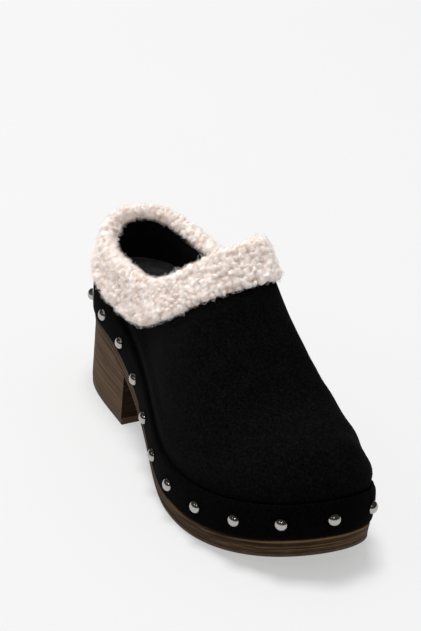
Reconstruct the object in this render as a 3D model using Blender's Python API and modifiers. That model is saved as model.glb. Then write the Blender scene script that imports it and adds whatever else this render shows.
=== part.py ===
"""A studded platform clog for the right foot, closed at the heel and toe.

A wooden-look platform stands on a block heel and a thin outsole. A suede rand with domed studs wraps the
platform's edge, and the hollow suede upper stands inside the rand with a fleece cuff over its collar.
Metres, +X towards the toe, +Y towards the medial side, +Z up, the floor at Z = 0.
"""

import math
from collections import namedtuple

import bmesh
import bpy
import numpy as np
from mathutils import Matrix, Vector

# Plan of the shoe, measured over the rand
LENGTH = 0.262
BALL_WIDTH = 0.100
WAIST_WIDTH = 0.077
HEEL_WIDTH = 0.069

# Side view of the sole
HEEL_RISE = 0.037
TOE_SPRING = 0.0180
OUTSOLE_THICKNESS = 0.0024
EDGE_HEIGHT = 0.0080
RAND_HEIGHT = 0.0210
RAND_THICKNESS = 0.0028
RAND_OVERHANG = 0.0011
EDGE_TAPER = 0.0008
EDGE_ROUNDING = 0.0006

# Heel block and its top lift
HEEL_BREAST = 0.0765
HEEL_FLARE = 0.0009
HEEL_ROUNDING = 0.0007
TOP_LIFT_THICKNESS = 0.0040
TOP_LIFT_INSET = 0.0002

# Upper and insole
WALL = 0.0021
SEAT_DEPTH = 0.0015
INSTEP_HEIGHT = 0.0980
TOE_BOX_HEIGHT = 0.0350
TOE_BOX_LENGTH = 0.0340
COLLAR_WIDTH = 0.0500
SIDE_SWELL = 0.0015
SWELL_REACH = 0.020
INSOLE_THICKNESS = 0.0040
INSOLE_DISH = 0.0012
INSOLE_MARGIN = 0.012
INSOLE_SKIVE = 0.0016

# Fleece cuff folded over the collar
CUFF_INNER_DROP = 0.0012
CUFF_INNER_THICKNESS = 0.0018

# Domed studs, evenly spaced round the rand
STUD_COUNT = 23
STUD_DIAMETER = 0.0070
STUD_HEIGHT = 0.0030
STUD_LINE = 0.50
STUD_FIRST = 0.0367

# Fit between pieces
GAP = 0.0003
FLEECE_GAP = 0.0005
FEATHER_GAP = 0.00045
INSOLE_GAP = 0.0006

# Fineness of the faceted solids
HALF_STATIONS = 34
UPPER_ROWS = 12
STUD_SIDES = 12
STUD_RINGS = 4
STUD_WELD = 0.00001
CURVE_STEPS = 2800
COLUMN_STEPS = 90

Outline = namedtuple("Outline", "station follows lateral medial")
OUTLINE = (
    Outline(0.030, HEEL_WIDTH, 0.252, 0.268),
    Outline(0.120, HEEL_WIDTH, 0.430, 0.462),
    Outline(0.300, HEEL_WIDTH, 0.490, 0.500),
    Outline(0.460, WAIST_WIDTH, 0.530, 0.460),
    Outline(0.620, BALL_WIDTH, 0.508, 0.438),
    Outline(0.760, BALL_WIDTH, 0.500, 0.430),
    Outline(0.880, BALL_WIDTH, 0.388, 0.364),
    Outline(0.965, BALL_WIDTH, 0.200, 0.258),
)
TOE_TIP_SHIFT = 0.050

# Where the underside leaves the floor, as shares of the length
HEEL_SEAT_STATION = 0.175
TREAD_START_STATION = 0.645
TREAD_END_STATION = 0.680

Crest = namedtuple("Crest", "station follows height lateral_fullness medial_fullness")
CREST = (
    Crest(0.300, INSTEP_HEIGHT, 1.180, 2.00, 2.00),
    Crest(0.460, INSTEP_HEIGHT, 1.090, 1.90, 1.65),
    Crest(0.540, INSTEP_HEIGHT, 0.985, 1.85, 1.60),
    Crest(0.590, INSTEP_HEIGHT, 0.885, 1.85, 1.60),
    Crest(0.640, INSTEP_HEIGHT, 0.745, 1.90, 1.75),
    Crest(0.690, INSTEP_HEIGHT, 0.615, 2.00, 2.05),
    Crest(0.740, TOE_BOX_HEIGHT, 1.380, 2.10, 2.70),
    Crest(0.790, TOE_BOX_HEIGHT, 1.165, 2.20, 3.10),
    Crest(0.850, TOE_BOX_HEIGHT, 1.060, 2.30, 3.10),
    Crest(0.900, TOE_BOX_HEIGHT, 1.005, 2.35, 2.35),
    Crest(0.960, TOE_BOX_HEIGHT, 1.000, 2.40, 2.40),
    Crest(1.000, TOE_BOX_HEIGHT, 1.000, 2.40, 2.40),
)
CREST_SHIFT = 0.040
CREST_FULLNESS = 0.86
TOE_CURVE, TOE_END = 2.4, 2.2

Collar = namedtuple("Collar", "station lateral lateral_height medial medial_height")
COLLAR_BACK = (0.047, 0.351)
COLLAR_FRONT = (0.536, 1.005)
COLLAR_FRONT_SHIFT = 0.140
COLLAR = (
    Collar(0.072, 0.262, 0.335, 0.310, 0.351),
    Collar(0.140, 0.475, 0.272, 0.475, 0.316),
    Collar(0.248, 0.530, 0.296, 0.515, 0.328),
    Collar(0.347, 0.515, 0.405, 0.515, 0.465),
    Collar(0.443, 0.420, 0.655, 0.475, 0.785),
    Collar(0.508, 0.240, 0.890, 0.370, 0.950),
)

# Share of the half way round the feather line, and share of the half way round the collar it climbs to
Climb = namedtuple("Climb", "feather collar")
CLIMB = (
    Climb(0.00, 0.00),
    Climb(0.16, 0.22),
    Climb(0.30, 0.47),
    Climb(0.42, 0.66),
    Climb(0.60, 0.82),
    Climb(0.80, 0.92),
    Climb(1.00, 1.00),
)
VAMP_START, VAMP_FULL = 0.26, 0.50
WALL_LEAN, ARCH_LEAN = 1.1, 2.0

# Rand section, up its outer side and down its inner side: shares of its thickness and height
RandPoint = namedtuple("RandPoint", "inset height")
RAND_SECTION = (
    RandPoint(0.55, 0.000),
    RandPoint(0.20, 0.035),
    RandPoint(0.03, 0.130),
    RandPoint(-0.12, 0.500),
    RandPoint(0.00, 0.850),
    RandPoint(0.18, 0.945),
    RandPoint(0.52, 1.000),
    RandPoint(0.90, 0.985),
    RandPoint(1.00, 0.930),
    RandPoint(1.00, 0.000),
)

# Cuff sizes from the back of the collar to its front
Cuff = namedtuple("Cuff", "reach drop thickness crown")
CUFF = (
    Cuff(0.00, 0.0218, 0.0060, 0.0040),
    Cuff(0.30, 0.0230, 0.0060, 0.0042),
    Cuff(0.60, 0.0242, 0.0056, 0.0046),
    Cuff(1.00, 0.0212, 0.0043, 0.0042),
)

# Cuff section, outside then inside: distance down the upper, and distance out from its face
CuffPoint = namedtuple("CuffPoint", "along across")
CUFF_OUTSIDE = (
    CuffPoint(0.24, 0.00),
    CuffPoint(0.48, 0.00),
    CuffPoint(0.72, 0.00),
    CuffPoint(0.96, 0.00),
    CuffPoint(1.06, 0.35),
    CuffPoint(1.03, 0.74),
    CuffPoint(0.84, 0.97),
    CuffPoint(0.50, 1.04),
    CuffPoint(0.16, 1.02),
)
CUFF_TOP = (
    CuffPoint(0.52, 0.86),
    CuffPoint(0.94, 0.42),
    CuffPoint(1.00, -0.04),
    CuffPoint(0.72, -0.50),
)
CUFF_INSIDE = (
    CuffPoint(0.25, 1.00),
    CuffPoint(0.75, 1.00),
    CuffPoint(1.04, 0.60),
    CuffPoint(1.00, 0.00),
)

SUEDE = (0.010, 0.010, 0.011)
WOOD = (0.150, 0.090, 0.052)
DARK_WOOD = (0.085, 0.050, 0.030)
FLEECE = (0.800, 0.690, 0.640)
STEEL = (0.800, 0.790, 0.780)
FOOTBED = (0.030, 0.030, 0.032)


def smooth_step(share):
    """0 below 0, 1 above 1, and a smooth rise between."""
    share = np.clip(share, 0.0, 1.0)
    return share * share * (3.0 - 2.0 * share)


def smooth_table(where, places, values):
    """A smooth curve through a table that never swings past its rows."""
    x, y = np.asarray(places, float), np.asarray(values, float)
    step, rise = np.diff(x), np.diff(y) / np.diff(x)
    slope = np.zeros_like(y)
    for i in range(1, len(y) - 1):
        if rise[i - 1] * rise[i] > 0:
            a, b = 2 * step[i] + step[i - 1], step[i] + 2 * step[i - 1]
            slope[i] = (a + b) / (a / rise[i - 1] + b / rise[i])
    slope[0], slope[-1] = rise[0], rise[-1]
    where = np.clip(where, x[0], x[-1])
    i = np.clip(np.searchsorted(x, where) - 1, 0, len(x) - 2)
    t = (where - x[i]) / step[i]
    start = (1 + 2 * t) * (1 - t) ** 2 * y[i] + t * (1 - t) ** 2 * step[i] * slope[i]
    end = t * t * (3 - 2 * t) * y[i + 1] + t * t * (t - 1) * step[i] * slope[i + 1]
    return start + end


def closed_spline(points, count=CURVE_STEPS):
    """A smooth closed curve through a few points, as many points evenly spaced in its own measure."""
    p = np.asarray(points, float)
    n = len(p)
    gap = np.sqrt(np.linalg.norm(np.roll(p, -1, 0) - p, axis=1))
    system, right = np.zeros((n, n)), np.zeros_like(p)
    for i in range(n):
        before, after = gap[i - 1], gap[i]
        system[i, i - 1] = after
        system[i, i] = 2 * (before + after)
        system[i, (i + 1) % n] = before
        rise_before, rise_after = (p[i] - p[i - 1]) / before, (p[(i + 1) % n] - p[i]) / after
        right[i] = 3 * (after * rise_before + before * rise_after)
    tangent = np.linalg.solve(system, right)
    knots = np.r_[0, np.cumsum(gap)]
    u = np.linspace(0, knots[-1], count, endpoint=False)
    i = np.clip(np.searchsorted(knots, u, side="right") - 1, 0, n - 1)
    j = (i + 1) % n
    t, h = ((u - knots[i]) / gap[i])[:, None], gap[i][:, None]
    start = (1 + 2 * t) * (1 - t) ** 2 * p[i] + t * (1 - t) ** 2 * h * tangent[i]
    return start + t * t * (3 - 2 * t) * p[j] + t * t * (t - 1) * h * tangent[j]


def walked_along(curve):
    """The distance walked to each point of an open curve."""
    return np.r_[0, np.cumsum(np.linalg.norm(np.diff(curve, axis=0), axis=1))]


def along_curve(curve, shares):
    """Points at these shares of an open curve's length."""
    walked = walked_along(curve)
    where = np.asarray(shares) * walked[-1]
    return np.stack([np.interp(where, walked, axis) for axis in curve.T], axis=1)


def plan_outline():
    """The rand's outer line from the heel, up the lateral side and back down the medial side."""
    side = [(row.station * LENGTH, -row.lateral * row.follows) for row in OUTLINE]
    other = [(row.station * LENGTH, row.medial * row.follows) for row in reversed(OUTLINE)]
    tip = (LENGTH, TOE_TIP_SHIFT * BALL_WIDTH)
    curve = closed_spline([(0.0, 0.0), *side, tip, *other])
    return np.roll(curve, -int(np.argmin(curve[:, 0])), axis=0)


def stations():
    """The same number of points down each side, opposite points at the same distance from the heel."""
    curve = plan_outline()
    toe = int(np.argmax(curve[:, 0]))
    heel_x, toe_x = curve[0, 0], curve[toe, 0]
    share = (1 - np.cos(np.pi * np.arange(HALF_STATIONS + 1) / HALF_STATIONS)) / 2
    x = heel_x + (toe_x - heel_x) * share
    lateral, medial = curve[: toe + 1], np.vstack([curve[toe:], curve[:1]])[::-1]
    down = np.interp(x, lateral[:, 0], lateral[:, 1])
    up = np.interp(x, medial[:, 0], medial[:, 1])
    up[0], up[-1] = down[0], down[-1] = curve[0, 1], curve[toe, 1]
    return np.vstack([np.c_[x, down], np.c_[x, up][-2:0:-1]])


RING = stations()
COUNT = len(RING)


def outward(ring):
    """Unit normals that point out of a closed ring in plan."""
    along = np.roll(ring, -1, 0)[:, :2] - np.roll(ring, 1, 0)[:, :2]
    normal = np.c_[along[:, 1], -along[:, 0]]
    return normal / np.linalg.norm(normal, axis=1)[:, None]


def underside(x):
    """Height of the outsole's lower face: flat under the tread, raised at the waist, heel and toe."""
    station = np.asarray(x) / LENGTH
    rise = smooth_step((TREAD_START_STATION - station) / (TREAD_START_STATION - HEEL_SEAT_STATION))
    spring = np.clip((station - TREAD_END_STATION) / (1 - TREAD_END_STATION), 0, None)
    return HEEL_RISE * rise + TOE_SPRING * spring**2


def ring_at(inset, above):
    """The outline moved inwards, at a height above the underside."""
    plan = RING - outward(RING) * inset
    return np.c_[plan, underside(plan[:, 0]) + above]


RAND_FOOT = OUTSOLE_THICKNESS + EDGE_HEIGHT
RAND_TOP = RAND_FOOT + RAND_HEIGHT
CORE_INSET = RAND_THICKNESS + GAP
FEATHER = RAND_TOP - SEAT_DEPTH
FEATHER_INSET = RAND_THICKNESS + FEATHER_GAP
INSOLE_INSET = FEATHER_INSET + WALL + INSOLE_GAP


def material(name, colour, roughness, metallic=0.0):
    made = bpy.data.materials.new(name)
    made.use_nodes = True
    shader = made.node_tree.nodes["Principled BSDF"]
    shader.inputs["Base Color"].default_value = (*colour, 1.0)
    shader.inputs["Roughness"].default_value = roughness
    shader.inputs["Metallic"].default_value = metallic
    return made


def new_object(name, mesh, finish, home, smooth_angle=40):
    mesh.materials.append(finish)
    mesh.shade_smooth()
    mesh.set_sharp_from_angle(angle=math.radians(smooth_angle))
    made = bpy.data.objects.new(name, mesh)
    made.parent = home
    bpy.data.collections["clog"].objects.link(made)
    return made


def opposite(count, tips):
    """Pairs of opposite points of a ring. With tips its first and middle points face each other across its
    length, and without it is open where its two ends face each other."""
    if tips:
        return [(i, -i % count) for i in range(count // 2 + 1)]
    return [(i, count - 1 - i) for i in range((count + 1) // 2)]


def loft(name, rings, pairs=None):
    """Faces between neighbouring rings. Given pairs of opposite points, both ends are closed by strips
    across them. Without pairs the last ring joins the first."""
    mesh = bmesh.new()
    rows = [[mesh.verts.new(point) for point in ring] for ring in rings]
    for low, high in zip(rows, rows[1:] + rows[:1] if pairs is None else rows[1:]):
        for j in range(len(low)):
            mesh.faces.new((low[j - 1], low[j], high[j], high[j - 1]))
    for row in () if pairs is None else (rows[0], rows[-1]):
        for (a, b), (c, d) in zip(pairs, pairs[1:]):
            mesh.faces.new([row[i] for i in dict.fromkeys((a, c, d, b))])
    bmesh.ops.recalc_face_normals(mesh, faces=mesh.faces)
    data = bpy.data.meshes.new(name)
    mesh.to_mesh(data)
    mesh.free()
    return data


def make_platform(finish, home):
    """The wooden-look platform: a rounded visible edge, then a narrower core that the rand wraps."""
    foot, top = OUTSOLE_THICKNESS, RAND_FOOT - GAP
    rings = [
        ring_at(RAND_OVERHANG + EDGE_TAPER + EDGE_ROUNDING, foot),
        ring_at(RAND_OVERHANG + EDGE_TAPER, foot + EDGE_ROUNDING),
        ring_at(RAND_OVERHANG, top - EDGE_ROUNDING / 2),
        ring_at(RAND_OVERHANG + EDGE_ROUNDING / 2, top),
        ring_at(CORE_INSET, top),
        ring_at(CORE_INSET, FEATHER - GAP),
    ]
    return new_object("platform", loft("platform", rings, opposite(COUNT, tips=True)), finish, home)


def cut_ring(ring, breast, behind):
    """The part of a ring behind or in front of a line across the shoe, open where it meets the line."""
    sides = (ring[: HALF_STATIONS + 1], np.vstack([ring[HALF_STATIONS:], ring[:1]])[::-1])
    kept = []
    for side in sides:
        end = [np.interp(breast, side[:, 0], axis) for axis in side.T]
        if behind:
            kept.append(np.vstack([side[side[:, 0] < breast - GAP], end]))
        else:
            kept.append(np.vstack([end, side[side[:, 0] > breast + GAP]]))
    lateral, medial = kept
    return np.vstack([medial[:0:-1], lateral]) if behind else np.vstack([lateral, medial[-2::-1]])


def heel_ring(inset, height=None):
    """A D-shaped ring behind the heel's breast, level at a height or along the platform's underside."""
    ring = cut_ring(ring_at(inset, OUTSOLE_THICKNESS - GAP), HEEL_BREAST, behind=True)
    if height is not None:
        ring[:, 2] = height
    return ring


def make_outsole(finish, home):
    """A thin outsole under the forepart and waist, which ends at the heel's breast."""
    inset = RAND_OVERHANG + EDGE_TAPER
    profile = ((inset + EDGE_ROUNDING, 0.0), (inset, EDGE_ROUNDING / 2), (inset, OUTSOLE_THICKNESS - GAP))
    rings = [cut_ring(ring_at(into, above), HEEL_BREAST + GAP, behind=False) for into, above in profile]
    mesh = loft("outsole", rings, opposite(len(rings[0]), tips=False))
    return new_object("outsole", mesh, finish, home)


def make_heel_block(finish, home):
    """The block heel, from its top lift to the platform, a little wider at its foot."""
    inset = RAND_OVERHANG + EDGE_TAPER
    foot = TOP_LIFT_THICKNESS + GAP
    rings = [
        heel_ring(inset - HEEL_FLARE, foot),
        heel_ring(inset - HEEL_FLARE / 2, (foot + HEEL_RISE) / 2),
        heel_ring(inset),
    ]
    mesh = loft("heel_block", rings, opposite(len(rings[0]), tips=False))
    return new_object("heel_block", mesh, finish, home)


def make_top_lift(finish, home):
    """The wearing layer under the heel block."""
    inset = RAND_OVERHANG + EDGE_TAPER - HEEL_FLARE + TOP_LIFT_INSET
    rings = [
        heel_ring(inset + HEEL_ROUNDING, 0.0),
        heel_ring(inset, HEEL_ROUNDING),
        heel_ring(inset, TOP_LIFT_THICKNESS),
    ]
    mesh = loft("top_lift", rings, opposite(len(rings[0]), tips=False))
    return new_object("top_lift", mesh, finish, home)


def make_rand(finish, home):
    """The suede rand, one closed band round the platform's core."""
    rings = [ring_at(p.inset * RAND_THICKNESS, RAND_FOOT + p.height * RAND_HEIGHT) for p in RAND_SECTION]
    return new_object("rand", loft("rand", rings), finish, home)


def make_insole(finish, home):
    """The footbed inside the upper, dished a little at its middle."""
    foot, top = FEATHER, FEATHER + INSOLE_THICKNESS
    inner = ring_at(INSOLE_INSET + INSOLE_MARGIN, top - INSOLE_DISH)
    rings = [ring_at(INSOLE_INSET, foot), ring_at(INSOLE_INSET + INSOLE_SKIVE, top), inner]
    return new_object("insole", loft("insole", rings, opposite(COUNT, tips=True)), finish, home)


def collar_line():
    """The upper's top edge, from the back, along the lateral side to the front, and back medially."""

    def point(station, sideways, height):
        x = station * LENGTH
        return (x, sideways, underside(x) + FEATHER + height * INSTEP_HEIGHT)

    lateral = [point(r.station, -r.lateral * COLLAR_WIDTH, r.lateral_height) for r in COLLAR]
    medial = [point(r.station, r.medial * COLLAR_WIDTH, r.medial_height) for r in reversed(COLLAR)]
    back = point(COLLAR_BACK[0], 0.0, COLLAR_BACK[1])
    front = point(COLLAR_FRONT[0], COLLAR_FRONT_SHIFT * COLLAR_WIDTH, COLLAR_FRONT[1])
    curve = closed_spline([back, *lateral, front, *medial])
    toward_front = int(np.argmax(curve[:, 0]))
    return curve[: toward_front + 1], np.vstack([curve[toward_front:], curve[:1]])[::-1]


def last_height(x, y, feather):
    """Height of the last above the underside's datum at a place in plan, inside the feather line."""
    lateral, medial = feather[: HALF_STATIONS + 1], np.vstack([feather[HALF_STATIONS:], feather[:1]])[::-1]
    low = np.interp(x, lateral[:, 0], lateral[:, 1])
    high = np.interp(x, medial[:, 0], medial[:, 1])
    station = x / LENGTH
    places = [row.station for row in CREST]
    crest = smooth_table(station, places, [row.height * row.follows for row in CREST])
    toe_x = lateral[-1, 0]
    toe = np.clip((x - (toe_x - TOE_BOX_LENGTH)) / TOE_BOX_LENGTH, 0, 1)
    crest = crest * (1 - toe**TOE_CURVE) ** (1 / TOE_END)
    ridge = (low + high) / 2 + CREST_SHIFT * (high - low)
    left = smooth_table(station, places, [row.lateral_fullness for row in CREST])
    right = smooth_table(station, places, [row.medial_fullness for row in CREST])
    full = np.where(y < ridge, left, right)
    reach = np.where(y < ridge, ridge - low, high - ridge)
    sideways = np.clip(np.abs(y - ridge) / np.maximum(reach, GAP), 0, 1)
    shape = (1 - sideways**full) ** (1 / (CREST_FULLNESS * full))
    return underside(x) + FEATHER + crest * shape


def upper_column(foot, head, away, vamp, feather):
    """One line up the upper's outer face, from the feather line to the collar."""
    t = np.linspace(0, 1, COLUMN_STEPS)
    wall = foot + (head - foot) * np.c_[t**WALL_LEAN, t**WALL_LEAN, t]
    g = t**ARCH_LEAN
    plan = foot[:2] + (head[:2] - foot[:2]) * g[:, None]
    height = last_height(plan[:, 0], plan[:, 1], feather)
    height = height + (head[2] - height[-1]) * smooth_step(g)
    height[0] = foot[2]
    line = wall * (1 - vamp) + np.c_[plan, height] * vamp
    swell = SIDE_SWELL * np.sin(np.pi * np.clip(walked_along(line) / SWELL_REACH, 0, 1)) ** 2
    line[:, :2] += away * swell[:, None]
    return along_curve(line, np.linspace(0, 1, UPPER_ROWS + 1))


def upper_grid():
    """The upper's outer face as rows of points, from the feather line up to the collar."""
    feather = ring_at(FEATHER_INSET, FEATHER)
    away = outward(feather)
    lateral, medial = collar_line()
    columns = {}
    for half, line in ((range(0, HALF_STATIONS + 1), lateral), (range(COUNT, HALF_STATIONS, -1), medial)):
        half = list(half)
        path = np.array([feather[i % COUNT] for i in half])
        if half[-1] != HALF_STATIONS:
            path = np.vstack([path, feather[HALF_STATIONS]])
        walked = walked_along(path)
        share = walked[: len(half)] / walked[-1]
        heads = along_curve(line, smooth_table(share, [c.feather for c in CLIMB], [c.collar for c in CLIMB]))
        for i, head, place in zip(half, heads, share):
            vamp = float(smooth_step((place - VAMP_START) / (VAMP_FULL - VAMP_START)))
            columns[i % COUNT] = upper_column(feather[i % COUNT], head, away[i % COUNT], vamp, feather)
    return np.array([columns[i] for i in range(COUNT)]).transpose(1, 0, 2)


def grid_normals(grid):
    """Unit normals out of the upper's face at each point of its grid."""
    round_way = np.roll(grid, -1, 1) - np.roll(grid, 1, 1)
    up_way = np.gradient(grid, axis=0)
    normal = np.cross(round_way, up_way)
    return normal / np.linalg.norm(normal, axis=2)[..., None]


def make_upper(grid, finish, home):
    """The hollow upper: its outer face, its inner face one wall inside it, and the two rims between them."""
    normals = grid_normals(grid)
    normals[0] *= (1, 1, 0)
    normals[0] /= np.linalg.norm(normals[0], axis=1)[:, None]
    inside = grid - normals * WALL
    return new_object("upper", loft("upper", [*grid, *inside[::-1]]), finish, home)


def cuff_section(column, normals, reach):
    """The cuff's closed section over one line of the upper. Its sizes follow its reach from back to front."""
    line, facing = column[::-1], normals[::-1]
    walked = walked_along(line)
    rising = line[0] - line[1]
    rising = rising / np.linalg.norm(rising)
    along = [row.reach for row in CUFF]
    drop = smooth_table(reach, along, [row.drop for row in CUFF])
    thickness = smooth_table(reach, along, [row.thickness for row in CUFF])
    crown = smooth_table(reach, along, [row.crown for row in CUFF])

    def place(down, out):
        if down < 0:
            return line[0] - rising * down + facing[0] * out
        at = np.array([np.interp(down, walked, axis) for axis in line.T])
        turn = np.array([np.interp(down, walked, axis) for axis in facing.T])
        return at + turn / np.linalg.norm(turn) * out

    inner = WALL + FLEECE_GAP
    behind = inner + CUFF_INNER_THICKNESS
    section = [place(-FLEECE_GAP, FLEECE_GAP)]
    section += [place(p.along * drop, FLEECE_GAP + p.across * (thickness - FLEECE_GAP)) for p in CUFF_OUTSIDE]
    section += [place(-p.along * crown, p.across * (thickness if p.across > 0 else behind)) for p in CUFF_TOP]
    section += [
        place(p.along * CUFF_INNER_DROP, -inner - p.across * CUFF_INNER_THICKNESS) for p in CUFF_INSIDE
    ]
    section.append(place(-FLEECE_GAP, -inner))
    return section


def make_cuff(grid, finish, home):
    """The fleece cuff, one closed ring folded over the collar."""
    normals = grid_normals(grid)
    reach = grid[-1, :, 0]
    reach = (reach - reach.min()) / (reach.max() - reach.min())
    sections = np.array([cuff_section(grid[:, i], normals[:, i], reach[i]) for i in range(COUNT)])
    return new_object("fleece_cuff", loft("fleece_cuff", sections.transpose(1, 0, 2)), finish, home)


def stud_mesh(finish):
    """One domed stud on the XY plane, turned from its profile."""
    radius = STUD_DIAMETER / 2
    ball = (radius**2 + STUD_HEIGHT**2) / (2 * STUD_HEIGHT)
    sweep = math.asin(min(1.0, radius / ball))
    profile = [(0.0, 0.0, STUD_HEIGHT)]
    for i in range(1, STUD_RINGS + 1):
        angle = sweep * i / STUD_RINGS
        profile.append((ball * math.sin(angle), 0.0, STUD_HEIGHT - ball * (1 - math.cos(angle))))
    profile.append((0.0, 0.0, 0.0))
    line = bpy.data.meshes.new("stud_profile")
    line.from_pydata(profile, [(i, i + 1) for i in range(len(profile) - 1)], [])
    turned = bpy.data.objects.new("stud_profile", line)
    bpy.context.scene.collection.objects.link(turned)
    screw = turned.modifiers.new("turn", "SCREW")
    screw.steps = screw.render_steps = STUD_SIDES
    screw.use_merge_vertices = True
    screw.merge_threshold = STUD_WELD
    bpy.context.view_layer.update()
    made = bpy.data.meshes.new_from_object(turned.evaluated_get(bpy.context.evaluated_depsgraph_get()))
    bpy.data.objects.remove(turned)
    made.name = "stud"
    made.materials.append(finish)
    made.shade_smooth()
    made.set_sharp_from_angle(angle=math.radians(50))
    return made


def make_studs(finish, home):
    """The studs, seated on the rand's middle line at equal distances."""
    curve = plan_outline()
    facing = outward(curve)
    bulge = -min(p.inset for p in RAND_SECTION) * RAND_THICKNESS
    middle = np.c_[curve + facing * bulge, underside(curve[:, 0]) + RAND_FOOT + RAND_HEIGHT * STUD_LINE]
    walked = walked_along(np.vstack([middle, middle[:1]]))
    mesh = stud_mesh(finish)
    for number in range(STUD_COUNT):
        where = (STUD_FIRST + number * walked[-1] / STUD_COUNT) % walked[-1]
        i = min(int(np.searchsorted(walked, where)), len(curve) - 1)
        normal = Vector((*facing[i], 0.0))
        stud = bpy.data.objects.new(f"stud_{number + 1:02d}", mesh)
        stud.rotation_mode = "QUATERNION"
        stud.rotation_quaternion = normal.to_track_quat("Z", "Y")
        stud.location = Vector(middle[i]) + normal * GAP
        stud.parent = home
        bpy.data.collections["clog"].objects.link(stud)


def centre(home):
    """Moves the whole shoe so that the middle of its box is over the origin and it stands on Z = 0."""
    bpy.context.view_layer.update()
    graph = bpy.context.evaluated_depsgraph_get()
    corners = []
    for part in home.children:
        seen = part.evaluated_get(graph)
        corners += [seen.matrix_world @ Vector(corner) for corner in seen.bound_box]
    low = Vector(map(min, *corners))
    high = Vector(map(max, *corners))
    home.matrix_world = Matrix.Translation((-(low.x + high.x) / 2, -(low.y + high.y) / 2, -low.z))


def main():
    for old in list(bpy.data.objects):
        bpy.data.objects.remove(old)
    clog = bpy.data.collections.new("clog")
    bpy.context.scene.collection.children.link(clog)
    home = bpy.data.objects.new("shoe", None)
    clog.objects.link(home)
    suede = material("black_suede", SUEDE, 0.95)
    wood = material("brown_wood_grain", WOOD, 0.55)
    tread = material("dark_tread", DARK_WOOD, 0.70)
    make_outsole(tread, home)
    make_top_lift(tread, home)
    make_heel_block(wood, home)
    make_platform(wood, home)
    make_rand(suede, home)
    make_studs(material("polished_steel", STEEL, 0.12, 1.0), home)
    make_insole(material("footbed_lining", FOOTBED, 0.90), home)
    grid = upper_grid()
    make_upper(grid, suede, home)
    make_cuff(grid, material("cream_fleece", FLEECE, 1.0), home)
    centre(home)


main()
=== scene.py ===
import math
from collections import namedtuple

import bpy
import numpy as np
from mathutils import Matrix, Vector, kdtree
from bpy.props import FloatProperty, FloatVectorProperty, IntProperty, PointerProperty


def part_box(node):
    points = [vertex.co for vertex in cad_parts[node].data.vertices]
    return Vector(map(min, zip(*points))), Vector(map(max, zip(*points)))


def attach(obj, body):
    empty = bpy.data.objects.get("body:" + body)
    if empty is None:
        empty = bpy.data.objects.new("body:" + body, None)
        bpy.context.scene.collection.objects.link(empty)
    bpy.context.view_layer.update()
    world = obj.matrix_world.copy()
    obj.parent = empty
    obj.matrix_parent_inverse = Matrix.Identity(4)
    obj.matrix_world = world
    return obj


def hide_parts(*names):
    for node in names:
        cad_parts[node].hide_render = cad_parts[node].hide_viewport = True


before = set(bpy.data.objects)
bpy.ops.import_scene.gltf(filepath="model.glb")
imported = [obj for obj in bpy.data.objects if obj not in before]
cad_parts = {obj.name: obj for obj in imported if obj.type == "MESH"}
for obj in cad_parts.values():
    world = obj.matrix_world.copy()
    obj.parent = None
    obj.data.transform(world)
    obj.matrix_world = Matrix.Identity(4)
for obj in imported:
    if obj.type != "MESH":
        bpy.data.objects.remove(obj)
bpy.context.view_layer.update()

bl_info = {
    "name": "Studded platform clog",
    "version": (1, 0, 0),
    "blender": (4, 5, 0),
    "location": "View3D > Sidebar > Clog",
    "description": "Dresses a right platform clog in suede, fleece, steel and wood effect",
    "category": "Object",
}

# Plan outline over the rand: half-widths as shares of the width each row follows
Outline = namedtuple("Outline", "station follows lateral medial")
OUTLINE = (
    Outline(0.030, "heel_width", 0.252, 0.268),
    Outline(0.120, "heel_width", 0.430, 0.462),
    Outline(0.300, "heel_width", 0.490, 0.500),
    Outline(0.460, "waist_width", 0.530, 0.460),
    Outline(0.620, "ball_width", 0.508, 0.438),
    Outline(0.760, "ball_width", 0.500, 0.430),
    Outline(0.880, "ball_width", 0.388, 0.364),
    Outline(0.965, "ball_width", 0.200, 0.258),
)
TOE_TIP_SHIFT = 0.050
HEEL_SEAT_STATION, TREAD_START_STATION, TREAD_END_STATION = 0.175, 0.645, 0.680

# Crest of the last over the instep and toe, and how full each side is
Crest = namedtuple("Crest", "station follows height lateral_fullness medial_fullness")
CREST = (
    Crest(0.300, "instep_height", 1.180, 2.00, 2.00),
    Crest(0.460, "instep_height", 1.090, 1.90, 1.65),
    Crest(0.540, "instep_height", 0.985, 1.85, 1.60),
    Crest(0.590, "instep_height", 0.885, 1.85, 1.60),
    Crest(0.640, "instep_height", 0.745, 1.90, 1.75),
    Crest(0.690, "instep_height", 0.615, 2.00, 2.05),
    Crest(0.740, "toe_box_height", 1.380, 2.10, 2.70),
    Crest(0.790, "toe_box_height", 1.165, 2.20, 3.10),
    Crest(0.850, "toe_box_height", 1.060, 2.30, 3.10),
    Crest(0.900, "toe_box_height", 1.005, 2.35, 2.35),
    Crest(0.960, "toe_box_height", 1.000, 2.40, 2.40),
    Crest(1.000, "toe_box_height", 1.000, 2.40, 2.40),
)
CREST_SHIFT = 0.040
TOE_BOX_LENGTH = 0.0340
TOE_ROUNDING, TOE_FULLNESS, SIDE_FULLNESS = 2.4, 2.2, 0.86

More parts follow.
